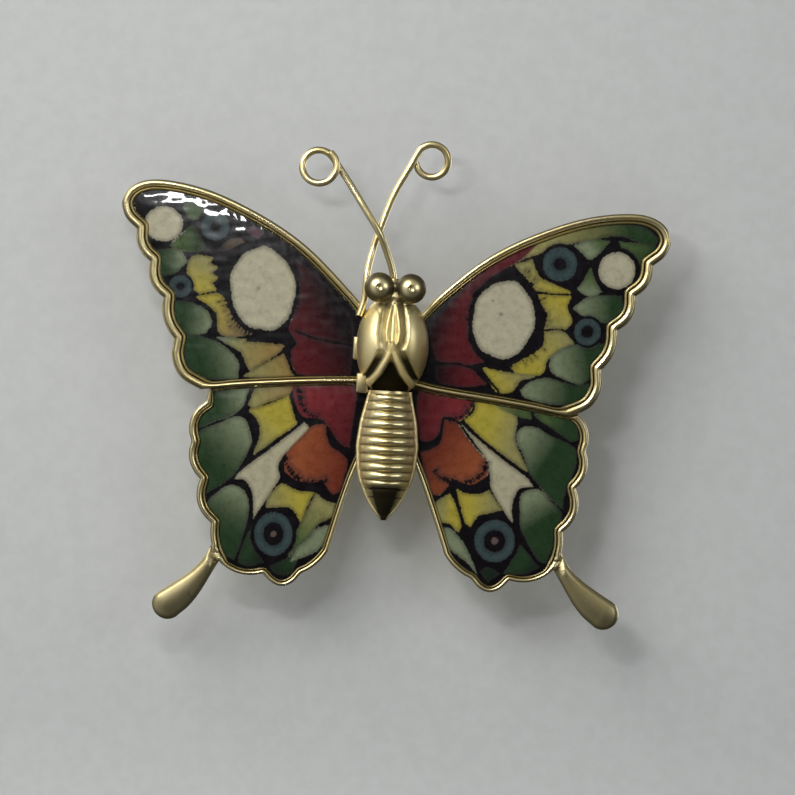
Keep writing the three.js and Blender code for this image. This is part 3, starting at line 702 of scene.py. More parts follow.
HIND_LEFT_CELLS = [
    ("green", "sage", (-15.8, -1.6), (-13.3, -0.9), [(-16.3, -0.6), (-15, 0.2), (-12.8, 0.4),
        (-13.3, -1.2), (-14.2, -2.1), (-15.7, -2.7), (-17.1, -3.4), (-17.6, -2.7)]),
    ("straw", "amber", (-12.2, -0.6), (-9.3, 0.4), [(-12.7, -1.1), (-11.9, 0.6), (-8.8, 0.9), (-9.2, 0.1),
        (-11.3, -0.8), (-12.2, -1.4)]),
    ("straw", "yellow", (-11.9, -4.3), (-10.3, -2.4), [(-12.6, -1.6), (-10.8, -1), (-9.2, -0.2),
        (-8.6, -2.1), (-8.4, -2.6), (-9.8, -3.7), (-12, -5.5), (-11.6, -4.2), (-11.5, -3.4),
        (-11.8, -2.4)]),
    ("linen", "linen", (-8, -3.1), (-11.6, -10.9), [(-7.6, -2.4), (-7.1, -2.9), (-8, -4.2), (-9.3, -5.5),
        (-9.8, -6.5), (-9.6, -7.6), (-10.6, -9.4), (-11.8, -11.4), (-12, -9.2), (-12.7, -8),
        (-13.7, -7.9), (-13.5, -7.4), (-10.6, -5), (-9.3, -3.9)]),
    ("rose", "wine", (-7.7, -0.4), (-3.9, -2), [(-8.8, 0.3), (-8.6, 1.3), (-6.4, 1.6), (-4.1, 1.5),
        (-3, 0.6), (-3.3, -2.9), (-3.4, -4.5), (-4, -4.4), (-4.8, -3.6), (-5.4, -2.7), (-6.4, -2),
        (-7.6, -2), (-8.3, -1.3)]),
    ("orange", "rust", (-7.8, -6.3), (-4.2, -6.6), [(-6.8, -2.7), (-5.7, -2.5), (-5.5, -3.7),
        (-5.1, -4.5), (-4.2, -5), (-3.5, -5.8), (-3.7, -7), (-4.1, -8.5), (-4.7, -8.9), (-5.3, -8.2),
        (-5.7, -7.5), (-6.6, -7.9), (-8, -7.7), (-9.1, -7), (-9.2, -6.1), (-8.9, -5), (-7.9, -3.8)]),
    ("green", "sage", (-16.2, -6.5), (-13.2, -3.4), [(-17.1, -3.8), (-15.7, -3.1), (-13.9, -2.3),
        (-13.1, -2.4), (-12.5, -3.6), (-12.4, -4.7), (-13.4, -6.9), (-14.4, -8.1), (-16.6, -9.6),
        (-16.4, -7.9), (-17.4, -6.5), (-17.5, -5.2)]),
    ("green", "sage", (-14.6, -12.6), (-12.9, -9.2), [(-16.1, -10.4), (-14.9, -9), (-14, -8.5),
        (-13, -8.8), (-12.4, -9.7), (-12.3, -11.1), (-12.9, -13.9), (-13.4, -15.2), (-14.5, -14.7),
        (-15.1, -13.8), (-15.5, -12.4)]),
    ("green", "pine", (-12.4, -14.3), (-11.4, -15.3), [(-12.9, -14.9), (-12.4, -13.3), (-12, -12.4),
        (-11.8, -13.8), (-10.7, -15.3), (-11.9, -15.7), (-12.9, -15.5)]),
    ("pine", "green", (-9.6, -15.8), (-7.8, -15), [(-10.1, -15.6), (-8.7, -14.9), (-7.3, -13.9),
        (-7.6, -14.9), (-8.1, -16.2), (-9.1, -16.4), (-9.9, -16)]),
    ("yellow", "straw", (-7.6, -9.5), (-10.3, -9.9), [(-9.4, -8.2), (-8.6, -8.5), (-7.7, -8.8),
        (-6.5, -8.8), (-6.9, -9.6), (-7.5, -11.4), (-8, -10.6), (-8.7, -10.1), (-10.6, -10.3),
        (-10.5, -9.5)]),
    ("straw", "moss", (-5.6, -9.8), (-7.5, -13.1), [(-6.2, -8.9), (-5.4, -9.5), (-4.5, -9.7),
        (-4.7, -10.8), (-5.9, -11.5), (-6.7, -12.7), (-8.4, -14.5), (-8.1, -13.2), (-7.2, -11.2)]),
    ("sage", "sage", (-5.2, -12.1), (-7.4, -14.2), [(-4.7, -11.6), (-5, -12.8), (-6, -14.1),
        (-8.2, -15.1), (-7.7, -13.9), (-6.7, -13), (-5.9, -12)]),
]
HIND_RIGHT_CELLS = [
    ("wine", "rose", (3.2, 0.2), (6.4, 0.2), [(2.7, 1.1), (3.6, 1.7), (5.9, 1.8), (7.7, 1.3), (7.6, -0.1),
        (7, -1), (6.5, -1.5), (5.8, -1.3), (4.9, -1.1), (4.7, -1.8), (4.5, -2.9), (3.7, -3.5),
        (3, -3.4), (2.6, -1.7)]),
    ("rust", "orange", (4.4, -4.3), (7.6, -6), [(5.1, -1.5), (6.3, -1.8), (6.9, -2.6), (8, -3.9),
        (9, -5), (9.3, -6.2), (8.6, -6.9), (7.7, -7.3), (6.6, -7), (6, -6.8), (5.7, -7.6), (5, -8.4),
        (4.3, -8.3), (3.8, -7.1), (3, -4.6), (3.9, -4.3), (4.8, -3.6)]),
    ("linen", "linen", (7.5, -2.6), (11.7, -9.8), [(6.6, -1.8), (7.5, -2.6), (10.3, -4.7), (12.8, -6.4),
        (13.5, -7.2), (12.3, -7.4), (11.8, -8.2), (11.6, -9.4), (11.8, -10.6), (11.3, -10.1),
        (9.7, -7.7), (9.4, -5.9), (8.9, -4.7), (8.1, -3.7)]),
    ("yellow", "straw", (9.2, -1.3), (11.5, -1.7), [(7, -1.5), (7.8, -0.7), (8, 0.9), (9.6, 0.3),
        (11.5, -0.6), (11.5, -3), (12.1, -4.4), (12.8, -5.8), (11.7, -5.1), (8.8, -3.1)]),
    ("straw", "moss", (9.1, 0.6), (11.9, -0.5), [(8.4, 1.1), (10.9, 0.8), (12.5, 0.2), (12.9, -1),
        (11.7, -0.8), (10.1, -0.2)]),
    ("moss", "green", (14.2, -0.3), (16, -1.4), [(13.6, 0.3), (15.5, 0), (16.7, -0.4), (17.1, -1.4),
        (17.3, -2.7), (16.7, -2.9), (15.1, -1.9), (13.3, -0.7)]),
    ("sage", "green", (12.2, -2.7), (14.8, -4.2), [(11.8, -2.3), (12.4, -1.8), (13.6, -1.9),
        (14.7, -2.5), (17, -3.5), (17.2, -5), (16.3, -7.8), (16.2, -9.1), (15, -8.1), (13, -5.9),
        (12.4, -4.3), (11.8, -3.2)]),
    ("sage", "green", (12.8, -8.4), (14.2, -10.4), [(12.4, -8), (13.2, -7.5), (14.1, -7.5), (15, -8.4),
        (16.1, -9.4), (16.1, -10.3), (15.4, -12.8), (14.9, -14.1), (14.2, -13.8), (12.6, -11.2),
        (12.4, -9.8)]),
    ("green", "pine", (12.6, -13.9), (13.5, -14.7), [(12.2, -12.4), (12.7, -12.7), (14.3, -14.5),
        (13.1, -15.1), (11.2, -15.2), (11.8, -14.1)]),
    ("yellow", "straw", (7.8, -9), (9.8, -8.9), [(6.6, -7.9), (7.3, -8.2), (8.7, -8.2), (9.4, -7.8),
        (10.6, -9.4), (9.6, -9.7), (8.6, -10), (7.9, -11), (7.5, -10.7), (7, -9.2)]),
    ("straw", "yellow", (5.1, -9.7), (6.2, -9.7), [(4.7, -9.2), (5.9, -8.3), (6.4, -9.2), (7, -11),
        (6.8, -11.6), (6.1, -10.9), (5.1, -10.6)]),
    ("sage", "sage", (5.8, -11.8), (7.6, -13.7), [(5.3, -11.4), (6.1, -11.4), (6.9, -12.1), (7.6, -13),
        (8.8, -15.4), (7.6, -14.2), (6.4, -13.4), (5.6, -12.6)]),
    ("pine", "pine", (9.2, -15.3), (10.4, -15.3), [(9, -15.2), (9.6, -14.7), (10.9, -15.2), (9.8, -16.1)]),
]


def paint_wing(painting, wing, side):
    cells = {("forewing", "left"): FORE_LEFT_CELLS, ("forewing", "right"): FORE_RIGHT_CELLS,
             ("hindwing", "left"): HIND_LEFT_CELLS, ("hindwing", "right"): HIND_RIGHT_CELLS}
    for cell in cells[wing, side]:
        painting.cell(*cell)
    if (wing, side) == ("forewing", "left"):
        painting.round("cream", "cream", (-21.3, 14.9), 1.76, 1.58)
        oval(painting, (-12, 9.45), 2.95, 3.8, 9, 0.42)
        painting.round("taupe", "cream", (-12.4, 9.5), 0.2)
        painting.line(0.1, (-8.8, 5.8), (-7.0, 5.2), (-3.2, 4.7))
        painting.fringe((-12, 9.45), 3.2, 4.1, 1.0, 150, 270)
        painting.fringe((-12, 9.45), 3.2, 4.1, 0.7, -75, 40)
        eye(painting, (-16.6, 14.9), 1.27, 0.45)
        eye(painting, (-19.5, 9.3), 1.0, 0.38)
    elif (wing, side) == ("forewing", "right"):
        painting.black((20.0, 12.8), 2.1)
        oval(painting, (9.95, 7.8), 2.8, 3.55, -6, 0.4)
        painting.round("cream", "cream", (20.0, 12.8), 1.68)
        painting.line(0.1, (3.8, 3.6), (6.1, 3.6), (8.3, 3.0), (10.0, 1.1))
        painting.line(0.09, (12.6, 10.5), (14.2, 10.35), (16.1, 10.4))
        painting.line(0.09, (13.6, 7.0), (14.8, 7.2), (16.2, 7.0))
        painting.fringe((9.95, 7.8), 3.05, 3.8, 1.5, -75, 70)
        painting.fringe((9.95, 7.8), 3.05, 3.8, 0.6, 140, 235)
        painting.round("taupe", "cream", (9.7, 8.3), 0.28)
        painting.round("taupe", "cream", (8.9, 9.5), 0.16)
        eye(painting, (14.8, 13.1), 1.55, 0.58)
        eye(painting, (17.6, 7.1), 1.2, 0.56)
    elif side == "left":
        painting.fringe((-6.6, -5.4), 2.7, 2.6, -0.7, 188, 300)
        painting.fringe((-5.2, 0.4), 3.2, 2.8, -0.7, 175, 262)
        eye(painting, (-9.9, -12.7), 1.72, 0.92, 1.15, 0.27)
    else:
        painting.fringe((6.6, -4.9), 2.75, 2.45, -0.7, 215, 355)
        painting.fringe((4.8, 0.6), 2.9, 2.3, -0.6, -75, 20)
        eye(painting, (10.2, -12.3), 1.84, 0.98, 1.04, 0.33)


paint_material = bpy.data.materials.new("painted_enamel_finish")
glaze = Finish(paint_material)
place = glaze.place()
stroke = glaze.noise(place, 1300.0, 5.0, 0.7)
feather = glaze.noise(place, 4200.0, 3.0, 0.65)
ripple = glaze.noise(place, 330.0, 2.0)
pigment = glaze.node("ShaderNodeAttribute", {"attribute_name": "pigment"}, None, 0)
clear = glaze.node("ShaderNodeAttribute", {"attribute_name": "clear"}, None, 2)
deep = glaze.node("ShaderNodeMix", {"data_type": "RGBA", "blend_type": "MULTIPLY"},
                  {0: 1.0, 6: pigment, 7: glaze.mix(stroke.ramp(0.25, 0.75), (0.69, 0.69, 0.70, 1),
                                                   (0.92, 0.91, 0.90, 1))}, 2)
edge = clear + (feather - 0.5) * 0.34
dark = edge.ramp(-0.05, 0.03, 1.0, 0.0)
shade = edge.ramp(0.02, 0.4, 0.45, 0.0)
deep = glaze.mix(shade, deep, (0.02, 0.015, 0.018, 1))
paint = glaze.mix(dark, deep, (0.003, 0.002, 0.003, 1))
gloss = glaze.node("ShaderNodeBsdfPrincipled", None, {
    "Base Color": paint, "Roughness": stroke.ramp(0.3, 0.7, 0.24, 0.36), "Coat Weight": 1.0,
    "Coat Roughness": 0.04, "Specular IOR Level": 0.25,
    "Normal": glaze.bump(ripple + stroke * 0.1, 0.5, 0.00002)})
glaze.node("ShaderNodeOutputMaterial", None, {0: gloss})

for wing, level in WINGS.items():
    for side in ("left", "right"):
        node = f"{wing}_enamel_{side}"
        loops = flat_loops(node, level["floor"] - ENAMEL_DEPTH)
        loops = [softened(loop, crease=TRAY_CREASE) for loop in loops]
        corners, tris = faces_between(loops, filled(loops, PAINT_STEP, PAINT_MARGIN))
        depth = np.min([away_from(corners, loop)[0] for loop in loops], 0)
        front = level["paint"] - PAINT_CROWN * (1 - np.exp(-depth / PAINT_EDGE)) + ripples(corners)
        painting = Painting(corners, PAINT_SEED)
        paint_wing(painting, wing, side)
        item = piece_of(f"{wing}_paint_{side}", [slab(corners, tris, front, level["floor"])],
                        paint_material)
        colours = item.data.color_attributes.new("pigment", "FLOAT_COLOR", "POINT")
        colours.data.foreach_set("color", np.tile(painting.colour, (2, 1)).ravel())
        mark(item, "clear", np.tile(painting.clear, 2))
        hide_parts(node)
        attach(item, "brooch")

# ---- body -------------------------------------------------------------------------------------------
# One hollow gilt casting. The thorax has a raised leaf down its middle, a pad on each side and a
# chevron over a deep hollow at the waist; it stands on the wings and is held from behind. Two small
# tabs show beside it on the left.

BODY_BACK = -2.42
HEAD = {"z": 9.1, "half_width": 1.9, "depth": 1.7, "half_length": 1.9}
THORAX = {"z": 4.9, "half_width": 3.3, "depth": 2.75, "half_length": 4.7}
CHEVRON = [(0.0, 4.9), (0.12, 4.4), (0.5, 3.55), (1.15, 2.35), (2.05, 1.3)]
BODY_TABS = [((-3.55, -2.72, 3.5), (-2.7, -2.0, 5.6)), ((-3.1, -3.0, 0.5), (-2.0, -2.1, 2.3))]
TAB_BEVEL = 0.2
TAB_PAINTED_SHADE = 0.3
LEAF = [(0.06, 9.3), (0.28, 8.2), (0.5, 7.0), (0.6, 6.0), (0.45, 4.9), (0.3, 4.4)]


def hull(span, z):
    """Half the width and the depth of an egg at the height z."""
    inside = np.clip(1 - ((z - span["z"]) / span["half_length"]) ** 2, 0, 1) ** 0.5
    return span["half_width"] * inside, span["depth"] * inside


def bell(distance, half):
    return np.exp(-(distance / half) ** 2)


def lofted(heights, sizes, columns=150):
    """Rows of points over the front of a body, from side to side at each height."""
    angles = np.linspace(-np.pi / 2, np.pi / 2, columns)
    half, depth = sizes(heights)
    x = half[:, None] * np.sin(angles)
    y = BODY_BACK - depth[:, None] * np.cos(angles)
    z = np.repeat(heights[:, None], columns, 1)
    return np.stack([x, y, z], 2), np.sin(angles)


def closed_rows(rows):
    """A closed shell from rows of points: the front, a flat back and both ends."""
    count, columns = rows.shape[:2]
    flat = rows.reshape(-1, 3)
    faces = []
    for i in range(count - 1):
        for j in range(columns - 1):
            a = i * columns + j
            faces.append((a, a + 1, a + 1 + columns, a + columns))
        faces.append((i * columns + columns - 1, i * columns, (i + 1) * columns,
                      (i + 1) * columns + columns - 1))
    faces.append(tuple(range(columns))[::-1])
    faces.append(tuple((count - 1) * columns + j for j in range(columns)))
    return flat, faces


def thorax_sizes(z):
    head, thorax = hull(HEAD, z), hull(THORAX, z)
    return (np.maximum(np.maximum(head[0], thorax[0]), 0.06),
            np.maximum(np.maximum(head[1], thorax[1]), 0.06))


heights = THORAX["z"] + THORAX["half_length"] * np.sin(np.linspace(-np.pi / 2, 0, 70))
heights = np.concatenate([heights[:-1], np.linspace(THORAX["z"], 9.2, 86), np.linspace(9.25, 10.99, 30)])
rows, across = lofted(heights, thorax_sizes)
x, z = np.abs(rows[..., 0]), rows[..., 2]
spots = np.column_stack([x.ravel(), z.ravel()])
chevron = away_from(spots, np.array(CHEVRON), closed=False)[0].reshape(x.shape)
leg = np.interp(z, [p[1] for p in CHEVRON[::-1]], [p[0] for p in CHEVRON[::-1]])
lobe = np.interp(z, [p[1] for p in LEAF[::-1]], [p[0] for p in LEAF[::-1]])
fade = np.clip((9.3 - z) / 0.5, 0, 1) * np.clip((z - 4.4) / 0.8, 0, 1)
under = np.clip((leg - x - 0.3) / 0.2, 0, 1) * np.clip((3.6 - z) / 0.3, 0, 1)
under *= np.clip((z - 0.2) / 0.3, 0, 1)
over = np.clip((0.4 - np.abs(x - leg - 0.78)) / 0.14, 0, 1) * np.clip((4.5 - z) / 0.9, 0, 1)
over *= np.clip((z - 1.5) / 0.5, 0, 1)
pad = np.clip(1 - ((x - 2.0) / 1.2) ** 2 - ((z - 5.2) / 3.2) ** 2, 0, 1) ** 0.7
forward = (0.26 * pad + (0.40 * bell(x - lobe, 0.26) + 0.14 * bell(x, 0.1)) * fade
           - 0.2 * bell(x - lobe - 0.6, 0.22) * fade + 0.56 * np.exp(-(chevron / 0.3) ** 4)
           - (0.30 + 0.14 * np.clip(3.8 - z, 0, 3)) * under - 0.5 * over)
forward *= np.clip((BODY_BACK - rows[..., 1]) / 0.9, 0, 1)
rows[..., 1] = np.minimum(rows[..., 1] - forward, BODY_BACK)
# Painted shade: the hollow under the chevron, the trough beside it, the grooves beside the leaf and a fine
# line each side of the middle are darkened.
dark = np.clip(under * 1.1 + over * 0.95 + 0.6 * bell(x - lobe - 0.55, 0.24) * fade
               + 0.5 * (bell(x - 0.17, 0.06)) * fade * (z < 8.6), 0, 0.97)
thorax = piece_of("body_thorax", [closed_rows(rows)], gilt_material, 60)
mark(thorax, "painted_shade", dark.ravel())
mark(thorax, "matt", 0.12 + 0.3 * np.exp(-(chevron.ravel() / 0.3) ** 4))
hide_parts("body_shell")
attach(thorax, "brooch")

tabs = bmesh.new()
for low, high in BODY_TABS:
    made = bmesh.ops.create_cube(tabs, size=1)["verts"]
    bmesh.ops.scale(tabs, vec=[(b - a) * MM for a, b in zip(low, high)], verts=made)
    bmesh.ops.translate(tabs, vec=[(a + b) / 2 * MM for a, b in zip(low, high)], verts=made)
bmesh.ops.bevel(tabs, geom=tabs.edges[:], offset=TAB_BEVEL * MM, segments=3, profile=0.5, affect="EDGES")
tab_mesh = bpy.data.meshes.new("body_tabs")
tabs.to_mesh(tab_mesh)
tabs.free()
tab_mesh.materials.append(gilt_material)
tab_mesh.shade_smooth()
body_tabs = placed("body_tabs", tab_mesh)
# Painted shade: the tabs beside the body are darkened evenly.
mark(body_tabs, "painted_shade", np.full(len(tab_mesh.vertices), TAB_PAINTED_SHADE))
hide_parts("body_shell")
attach(body_tabs, "brooch")

# ---- abdomen ----------------------------------------------------------------------------------------
# The same casting's tail end: twelve ribs across it, highest along the middle, between two plain
# edges, and a smooth tip. The ribs are one rule repeated down its length, and the last two fade out.

ABDOMEN_SIZES = [(1.95, 1.75), (1.6, 1.9), (0.3, 2.06), (-2, 2.6), (-4.2, 2.85), (-6, 2.72),
                 (-7.4, 2.43), (-9.1, 1.68), (-10.0, 1.08), (-10.6, 0.6), (-10.85, 0.3), (-10.92, 0.08)]
ABDOMEN_FLATTEN = 0.92
ABDOMEN_EDGE = 0.24
RIBS = {"Top": 0.6, "Pitch": 0.79, "Bottom": -8.9, "Height": 0.25, "Middle": 0.1}


class Shaping(Finish):
    """A geometry node tree with named inputs, built with the same calls as a finish."""

    def __init__(self, name, values):
        self.tree = bpy.data.node_groups.new(name, "GeometryNodeTree")
        self.tree.interface.new_socket("Geometry", in_out="INPUT", socket_type="NodeSocketGeometry")
        self.tree.interface.new_socket("Geometry", in_out="OUTPUT", socket_type="NodeSocketGeometry")
        self.named = {}
        for label in values:
            made = self.tree.interface.new_socket(label, in_out="INPUT", socket_type="NodeSocketFloat")
            self.named[label] = made.identifier
        self.start = self.tree.nodes.new("NodeGroupInput")

    def given(self, label):
        return Socket(self, self.start.outputs[label])

    def end(self, shape, material):
        real = self.node("GeometryNodeRealizeInstances", None, {0: shape})
        painted = self.node("GeometryNodeSetMaterial", None, {"Geometry": real, "Material": material})
        self.node("NodeGroupOutput", None, {0: painted})

    def apply(self, item, values):
        """Runs the tree on the object with these values and keeps the result as a plain mesh."""
        modifier = item.modifiers.new("shaping", "NODES")
        modifier.node_group = self.tree
        for label, value in values.items():
            modifier[self.named[label]] = float(value)
        ready = item.evaluated_get(bpy.context.evaluated_depsgraph_get())
        mesh = bpy.data.meshes.new_from_object(ready)
        name = item.name
        bpy.data.objects.remove(item)
        return placed(name, mesh)


ribs = Shaping("ribs", RIBS)
spot = ribs.node("GeometryNodeInputPosition")
height = ribs.node("ShaderNodeSeparateXYZ", None, {0: spot}, 2) * (1 / MM)
side = ribs.node("GeometryNodeInputNamedAttribute", {"data_type": "FLOAT"}, {"Name": "across"})
wide = side.maths("ABSOLUTE", side)
below = ribs.given("Top") - height
count = below.maths("DIVIDE", below, ribs.given("Pitch"))
saw = count.maths("FRACT", count)
crest = saw.maths("SINE", saw * math.pi)
crest = crest.maths("POWER", crest, 0.8)
upper = below.ramp(0.0, 0.25)
lower = (height - ribs.given("Bottom")).ramp(0.0, 1.8)
band = wide.ramp(0.82, 0.95, 1.0, 0.0)
middle = wide.ramp(0.12, 0.42, 1.0, 0.0)
lift = crest * ribs.given("Height") * band
lift = (lift + crest * middle * ribs.given("Middle")) * upper * lower * MM
move = ribs.node("ShaderNodeCombineXYZ", None, {1: lift * -1.0})
moved = ribs.node("GeometryNodeSetPosition", None,
                  {"Geometry": Socket(ribs, ribs.start.outputs[0]), "Offset": move})
ribs.end(moved, gilt_material)


def abdomen_sizes(z):
    tops = np.array(ABDOMEN_SIZES)[::-1]
    line = np.interp(z, tops[:, 0], tops[:, 1])
    return line, line * ABDOMEN_FLATTEN


heights = np.concatenate([np.linspace(-10.92, -7.9, 60), np.linspace(-7.85, 0.8, 320)])
rows, across = lofted(heights, abdomen_sizes)
half = np.convolve(np.pad(abdomen_sizes(heights)[0], 12, "edge"), np.ones(25) / 25, "valid")[:, None]
edge = half * (1 - np.abs(across))
inner = np.maximum(half - ABDOMEN_EDGE, 0.05)
crown = np.sqrt(np.clip(1 - (half * across / inner) ** 2, 0, 1)) * inner * ABDOMEN_FLATTEN
flange = np.minimum(0.34, 0.7 * half) * np.sqrt(1 - (1 - np.clip(edge / 0.14, 0, 1)) ** 2)
rows[..., 0] = half * across
rows[..., 1] = BODY_BACK - (np.maximum(crown, flange) + 0.06 * bell(crown - flange, 0.15))
rows[:, (0, -1), 1] = BODY_BACK
# Painted shade: the middle of the tip, the crease where the crown meets the flange and the gaps between
# the ribs are darkened; the dark tip stands in for a dark reflection.
dark = np.clip((-7.5 - rows[..., 2]) / 0.5, 0, 1) * np.clip((0.74 - np.abs(across)) / 0.22, 0, 1)
turn = np.abs(np.sin(np.pi * (RIBS["Top"] - rows[..., 2]) / RIBS["Pitch"]))
gap = np.clip((0.6 - turn) / 0.4, 0, 1) * (rows[..., 2] < RIBS["Top"]) * (rows[..., 2] > RIBS["Bottom"])
dark = dark * 0.95 + 0.4 * bell(crown - flange, 0.1) + 0.6 * gap * (np.abs(across) < 0.88)
dark = np.clip(dark, 0, 0.96)
abdomen = piece_of("body_abdomen", [closed_rows(rows)], gilt_material, 60)
sideways = np.tile(across, len(heights))
mark(abdomen, "across", sideways)
mark(abdomen, "painted_shade", dark.ravel())
mark(abdomen, "matt", 0.02 + 0.2 * (np.abs(sideways) > 0.75))
abdomen = ribs.apply(abdomen, RIBS)
abdomen.data.shade_smooth()
abdomen.data.set_sharp_from_angle(angle=math.radians(70))
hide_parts("body_shell")
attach(abdomen, "brooch")

# ---- eyes -------------------------------------------------------------------------------------------
# Two gilt balls with a small cupped dimple in front, and a nub between them, on the front of the
# head. They are cast with the body.

EYES = [(-1.43, 10.1), (1.43, 10.1)]
EYE_RADIUS = 1.36
EYE_MIDDLE = -3.97
DIMPLE = 0.34
NUB = {"place": (0.02, -3.95, 10.2), "radius": 0.45}


def turned(centre, profile, columns=64):
    """A closed shape turned about a line along Y, from (radius, forward) points."""
    rings = []
    for radius, ahead in profile:
        for i in range(columns):
            angle = 2 * math.pi * i / columns
            rings.append((centre[0] + radius * math.cos(angle), centre[1] - ahead,
                          centre[2] + radius * math.sin(angle)))
    count = len(profile)
    faces = []
    for i in range(count - 1):
        for j in range(columns):
            k = (j + 1) % columns
            faces.append((i * columns + j, i * columns + k, (i + 1) * columns + k, (i + 1) * columns + j))
    faces.append(tuple(range(columns))[::-1])
    faces.append(tuple((count - 1) * columns + j for j in range(columns)))
    return rings, faces


def ball(radius, dimple):
    """Half a turned ball's outline, back to front, with the dimple's cup and soft lip."""
    edge = math.asin(dimple / radius) if dimple else 0.05
    outline = [(radius * math.sin(a), radius * math.cos(a)) for a in np.linspace(3.1, edge, 40)]
    if dimple:
        lip = outline[-1][1]
        for share in (0.93, 0.86, 0.76, 0.6, 0.4, 0.2, 0.05):
            outline.append((dimple * share, lip + 0.03 - 0.2 * (1 - share**2) ** 0.7))
    return outline


shells = [turned((x, EYE_MIDDLE, z), ball(EYE_RADIUS, DIMPLE)) for x, z in EYES]
shells.append(turned(NUB["place"], ball(NUB["radius"], 0)))
eyes = piece_of("body_eyes", shells, gilt_material, 50)
work = bmesh.new()
work.from_mesh(eyes.data)
bmesh.ops.recalc_face_normals(work, faces=work.faces)
work.to_mesh(eyes.data)
work.free()
# Painted shade: each ball darkens away from its dimple, leaving a bright ring round it; the dimple's
# middle and the nub are darkened too.
spots = np.array([v.co for v in eyes.data.vertices]) / MM
apart = np.min([np.hypot(spots[:, 0] - x, spots[:, 2] - z) for x, z in EYES], 0)
mark(eyes, "painted_shade", 0.8 * np.clip((apart - 0.6) / 0.3, 0, 1) + 0.5 * np.clip((0.2 - apart) / 0.1, 0, 1))
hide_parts("body_shell")
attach(eyes, "brooch")

# ---- antennae ---------------------------------------------------------------------------------------
# Two lengths of round gilt wire, each rolled into one open loop. They cross above the head and are
# soldered behind it, the right one coming down beside the left eye.

WIRE_RADIUS = 0.31
LOOP_RADIUS = 1.46
WIRE_FRONT = -2.75
WIRE_BEHIND = -2.07
WIRE_RISE = 0.66
LOOP_STEPS = 14
CROSSING = WIRE_BEHIND - 1.3 * WIRE_RISE
SHAFTS = {
    "left": [(-0.1, WIRE_BEHIND, 9.6), (-0.3, WIRE_BEHIND, 11.5), (-0.95, WIRE_BEHIND - 0.33, 13.4),
             (-1.8, CROSSING, 15.2), (-3.2, CROSSING, 17.3), (-4.7, WIRE_FRONT, 19.5),
             (-5.75, WIRE_FRONT, 20.95)],
    "right": [(-3.14, WIRE_FRONT, 7.5), (-2.73, WIRE_FRONT, 9.1), (-2.63, WIRE_FRONT, 11.2),
              (-2.3, WIRE_BEHIND, 13.2), (-1.75, WIRE_BEHIND, 15.2), (-0.6, WIRE_BEHIND, 18.6),
              (0.62, WIRE_BEHIND, 21)],
}
LOOPS = {
    "left": {"centre": (-7.47, 20.8), "level": WIRE_FRONT, "first": 42, "turn": 372, "rise": -WIRE_RISE,
             "spread": 0.15},
    "right": {"centre": (2.72, 21.9), "level": WIRE_BEHIND, "first": 146, "turn": -316,
              "rise": WIRE_RISE, "spread": 0},
}

WIRES = {"Radius": WIRE_RADIUS}
wires = Shaping("wires", WIRES)
ring = wires.node("GeometryNodeCurvePrimitiveCircle", None,
                  {"Resolution": 24, "Radius": wires.given("Radius") * MM})
tube = wires.node("GeometryNodeCurveToMesh", None,
                  {"Curve": Socket(wires, wires.start.outputs[0]), "Profile Curve": ring,
                   "Fill Caps": True})
wires.end(wires.node("GeometryNodeSetShadeSmooth", None, {"Geometry": tube}), gilt_material)


def flowing(points, step=12):
    """A smooth line through the points."""
    points = [2 * np.array(points[0]) - points[1]] + [np.array(p) for p in points]
    points.append(2 * points[-1] - points[-2])
    line = []
    for a, b, c, d in zip(points, points[1:], points[2:], points[3:]):
        for t in np.arange(step) / step:
            line.append(0.5 * (2 * b + (c - a) * t + (2 * a - 5 * b + 4 * c - d) * t**2
                               + (3 * b - a - 3 * c + d) * t**3))
    return np.array(line + [points[-2]])


for side in ("left", "right"):
    loop = LOOPS[side]
    path = list(SHAFTS[side])
    for i in range(LOOP_STEPS + 1):
        angle = math.radians(loop["first"] + loop["turn"] * i / LOOP_STEPS)
        radius = LOOP_RADIUS + loop["spread"] * i / LOOP_STEPS
        t = min(1, max(0, (i / LOOP_STEPS - 0.2) / 0.65))
        path.append((loop["centre"][0] + radius * math.cos(angle),
                     loop["level"] + loop["rise"] * t * t * (3 - 2 * t),
                     loop["centre"][1] + radius * math.sin(angle)))
    line = flowing(path)
    drawn = bpy.data.curves.new(f"antenna_wire_{side}", "CURVE")
    drawn.dimensions = "3D"
    spline = drawn.splines.new("POLY")
    spline.points.add(len(line) - 1)
    last = len(line) - 1
    rounded = {0: 0.55, 1: 0.86, last - 1: 0.86, last: 0.55}
    for i, p in enumerate(line):
        spline.points[i].co = (p[0] * MM, p[1] * MM, p[2] * MM, 1)
        spline.points[i].radius = rounded.get(i, 1)
    antenna = wires.apply(placed(f"antenna_wire_{side}", drawn), WIRES)
    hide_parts(f"antenna_{side}")
    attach(antenna, "brooch")

# ---- bridge, pin bar and catch ----------------------------------------------------------------------
# The fittings on the back: a stout gilt bridge that joins the wings, the bar soldered over it, and
# the safety catch's housing and turning part. Their edges are broken and tumbled smooth.

PIN_EDGE = 0.06
EDGE_BREAK = {"bridge_plate": 0.12, "body_post_upper": 0.08, "body_post_lower": 0.08,
              "pin_bar": 0.09, "hinge_rivet": 0.07, "catch_housing": 0.06, "catch_rotor": 0.06}


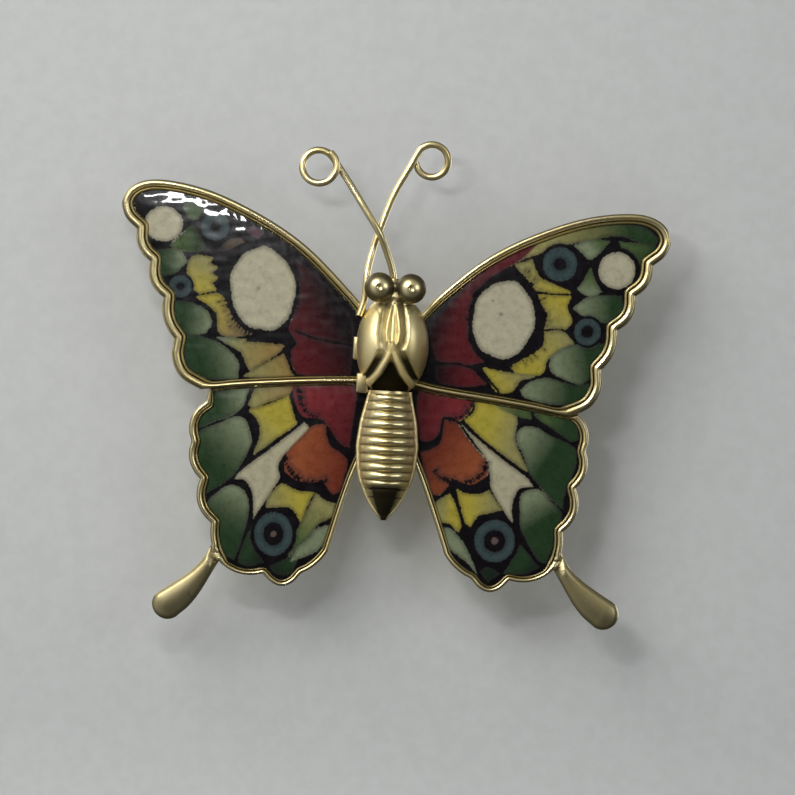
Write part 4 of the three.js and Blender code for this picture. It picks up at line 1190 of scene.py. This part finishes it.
def tumbled(name, node, material, width):
    """A copy of a frame piece with clean flat faces and rounded edges."""
    work = merged(node)
    bmesh.ops.dissolve_limit(work, angle_limit=math.radians(1), verts=work.verts, edges=work.edges)
    bmesh.ops.scale(work, vec=(MM, MM, MM), verts=work.verts)
    mesh = bpy.data.meshes.new(name)
    work.to_mesh(mesh)
    work.free()
    mesh.materials.append(material)
    item = placed(name, mesh)
    bevel = item.modifiers.new("edges", "BEVEL")
    bevel.width = width * MM
    bevel.segments = 3
    bevel.limit_method = "ANGLE"
    bevel.angle_limit = math.radians(35)
    bevel.use_clamp_overlap = True
    ready = item.evaluated_get(bpy.context.evaluated_depsgraph_get())
    made = bpy.data.meshes.new_from_object(ready)
    bpy.data.objects.remove(item)
    made.shade_smooth()
    made.set_sharp_from_angle(angle=math.radians(32))
    return placed(name, made)


steel_material = bpy.data.materials.new("pin_steel_finish")
steel = Finish(steel_material)
place = steel.place()
drawn_place = steel.node("ShaderNodeMapping", None, {"Vector": place, "Scale": (0.08, 1.0, 1.0)})
lines = steel.noise(drawn_place, 9000.0, 3.0)
smudge = steel.noise(place, 500.0, 3.0)
metal = steel.node("ShaderNodeBsdfPrincipled", None, {
    "Base Color": steel.mix(smudge.ramp(0.3, 0.7), linear(0.74, 0.75, 0.76), linear(0.66, 0.67, 0.69)),
    "Metallic": 1.0, "Roughness": lines.ramp(0.3, 0.7, 0.2, 0.34),
    "Normal": steel.bump(lines, 0.2, 0.00003)})
steel.node("ShaderNodeOutputMaterial", None, {0: metal})

for node, width in EDGE_BREAK.items():
    plain_steel = node == "hinge_rivet"
    item = tumbled(f"{node}_finished", node, steel_material if plain_steel else gilt_material, width)
    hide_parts(node)
    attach(item, "catch" if node == "catch_rotor" else "brooch")

# ---- pin ---------------------------------------------------------------------------------------------
# A drawn steel pin, ground to a point, with its knuckle turning on the hinge rivet.

pin = tumbled("pin_stem_finished", "pin_stem", steel_material, PIN_EDGE)
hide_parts("pin_stem")
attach(pin, "pin")
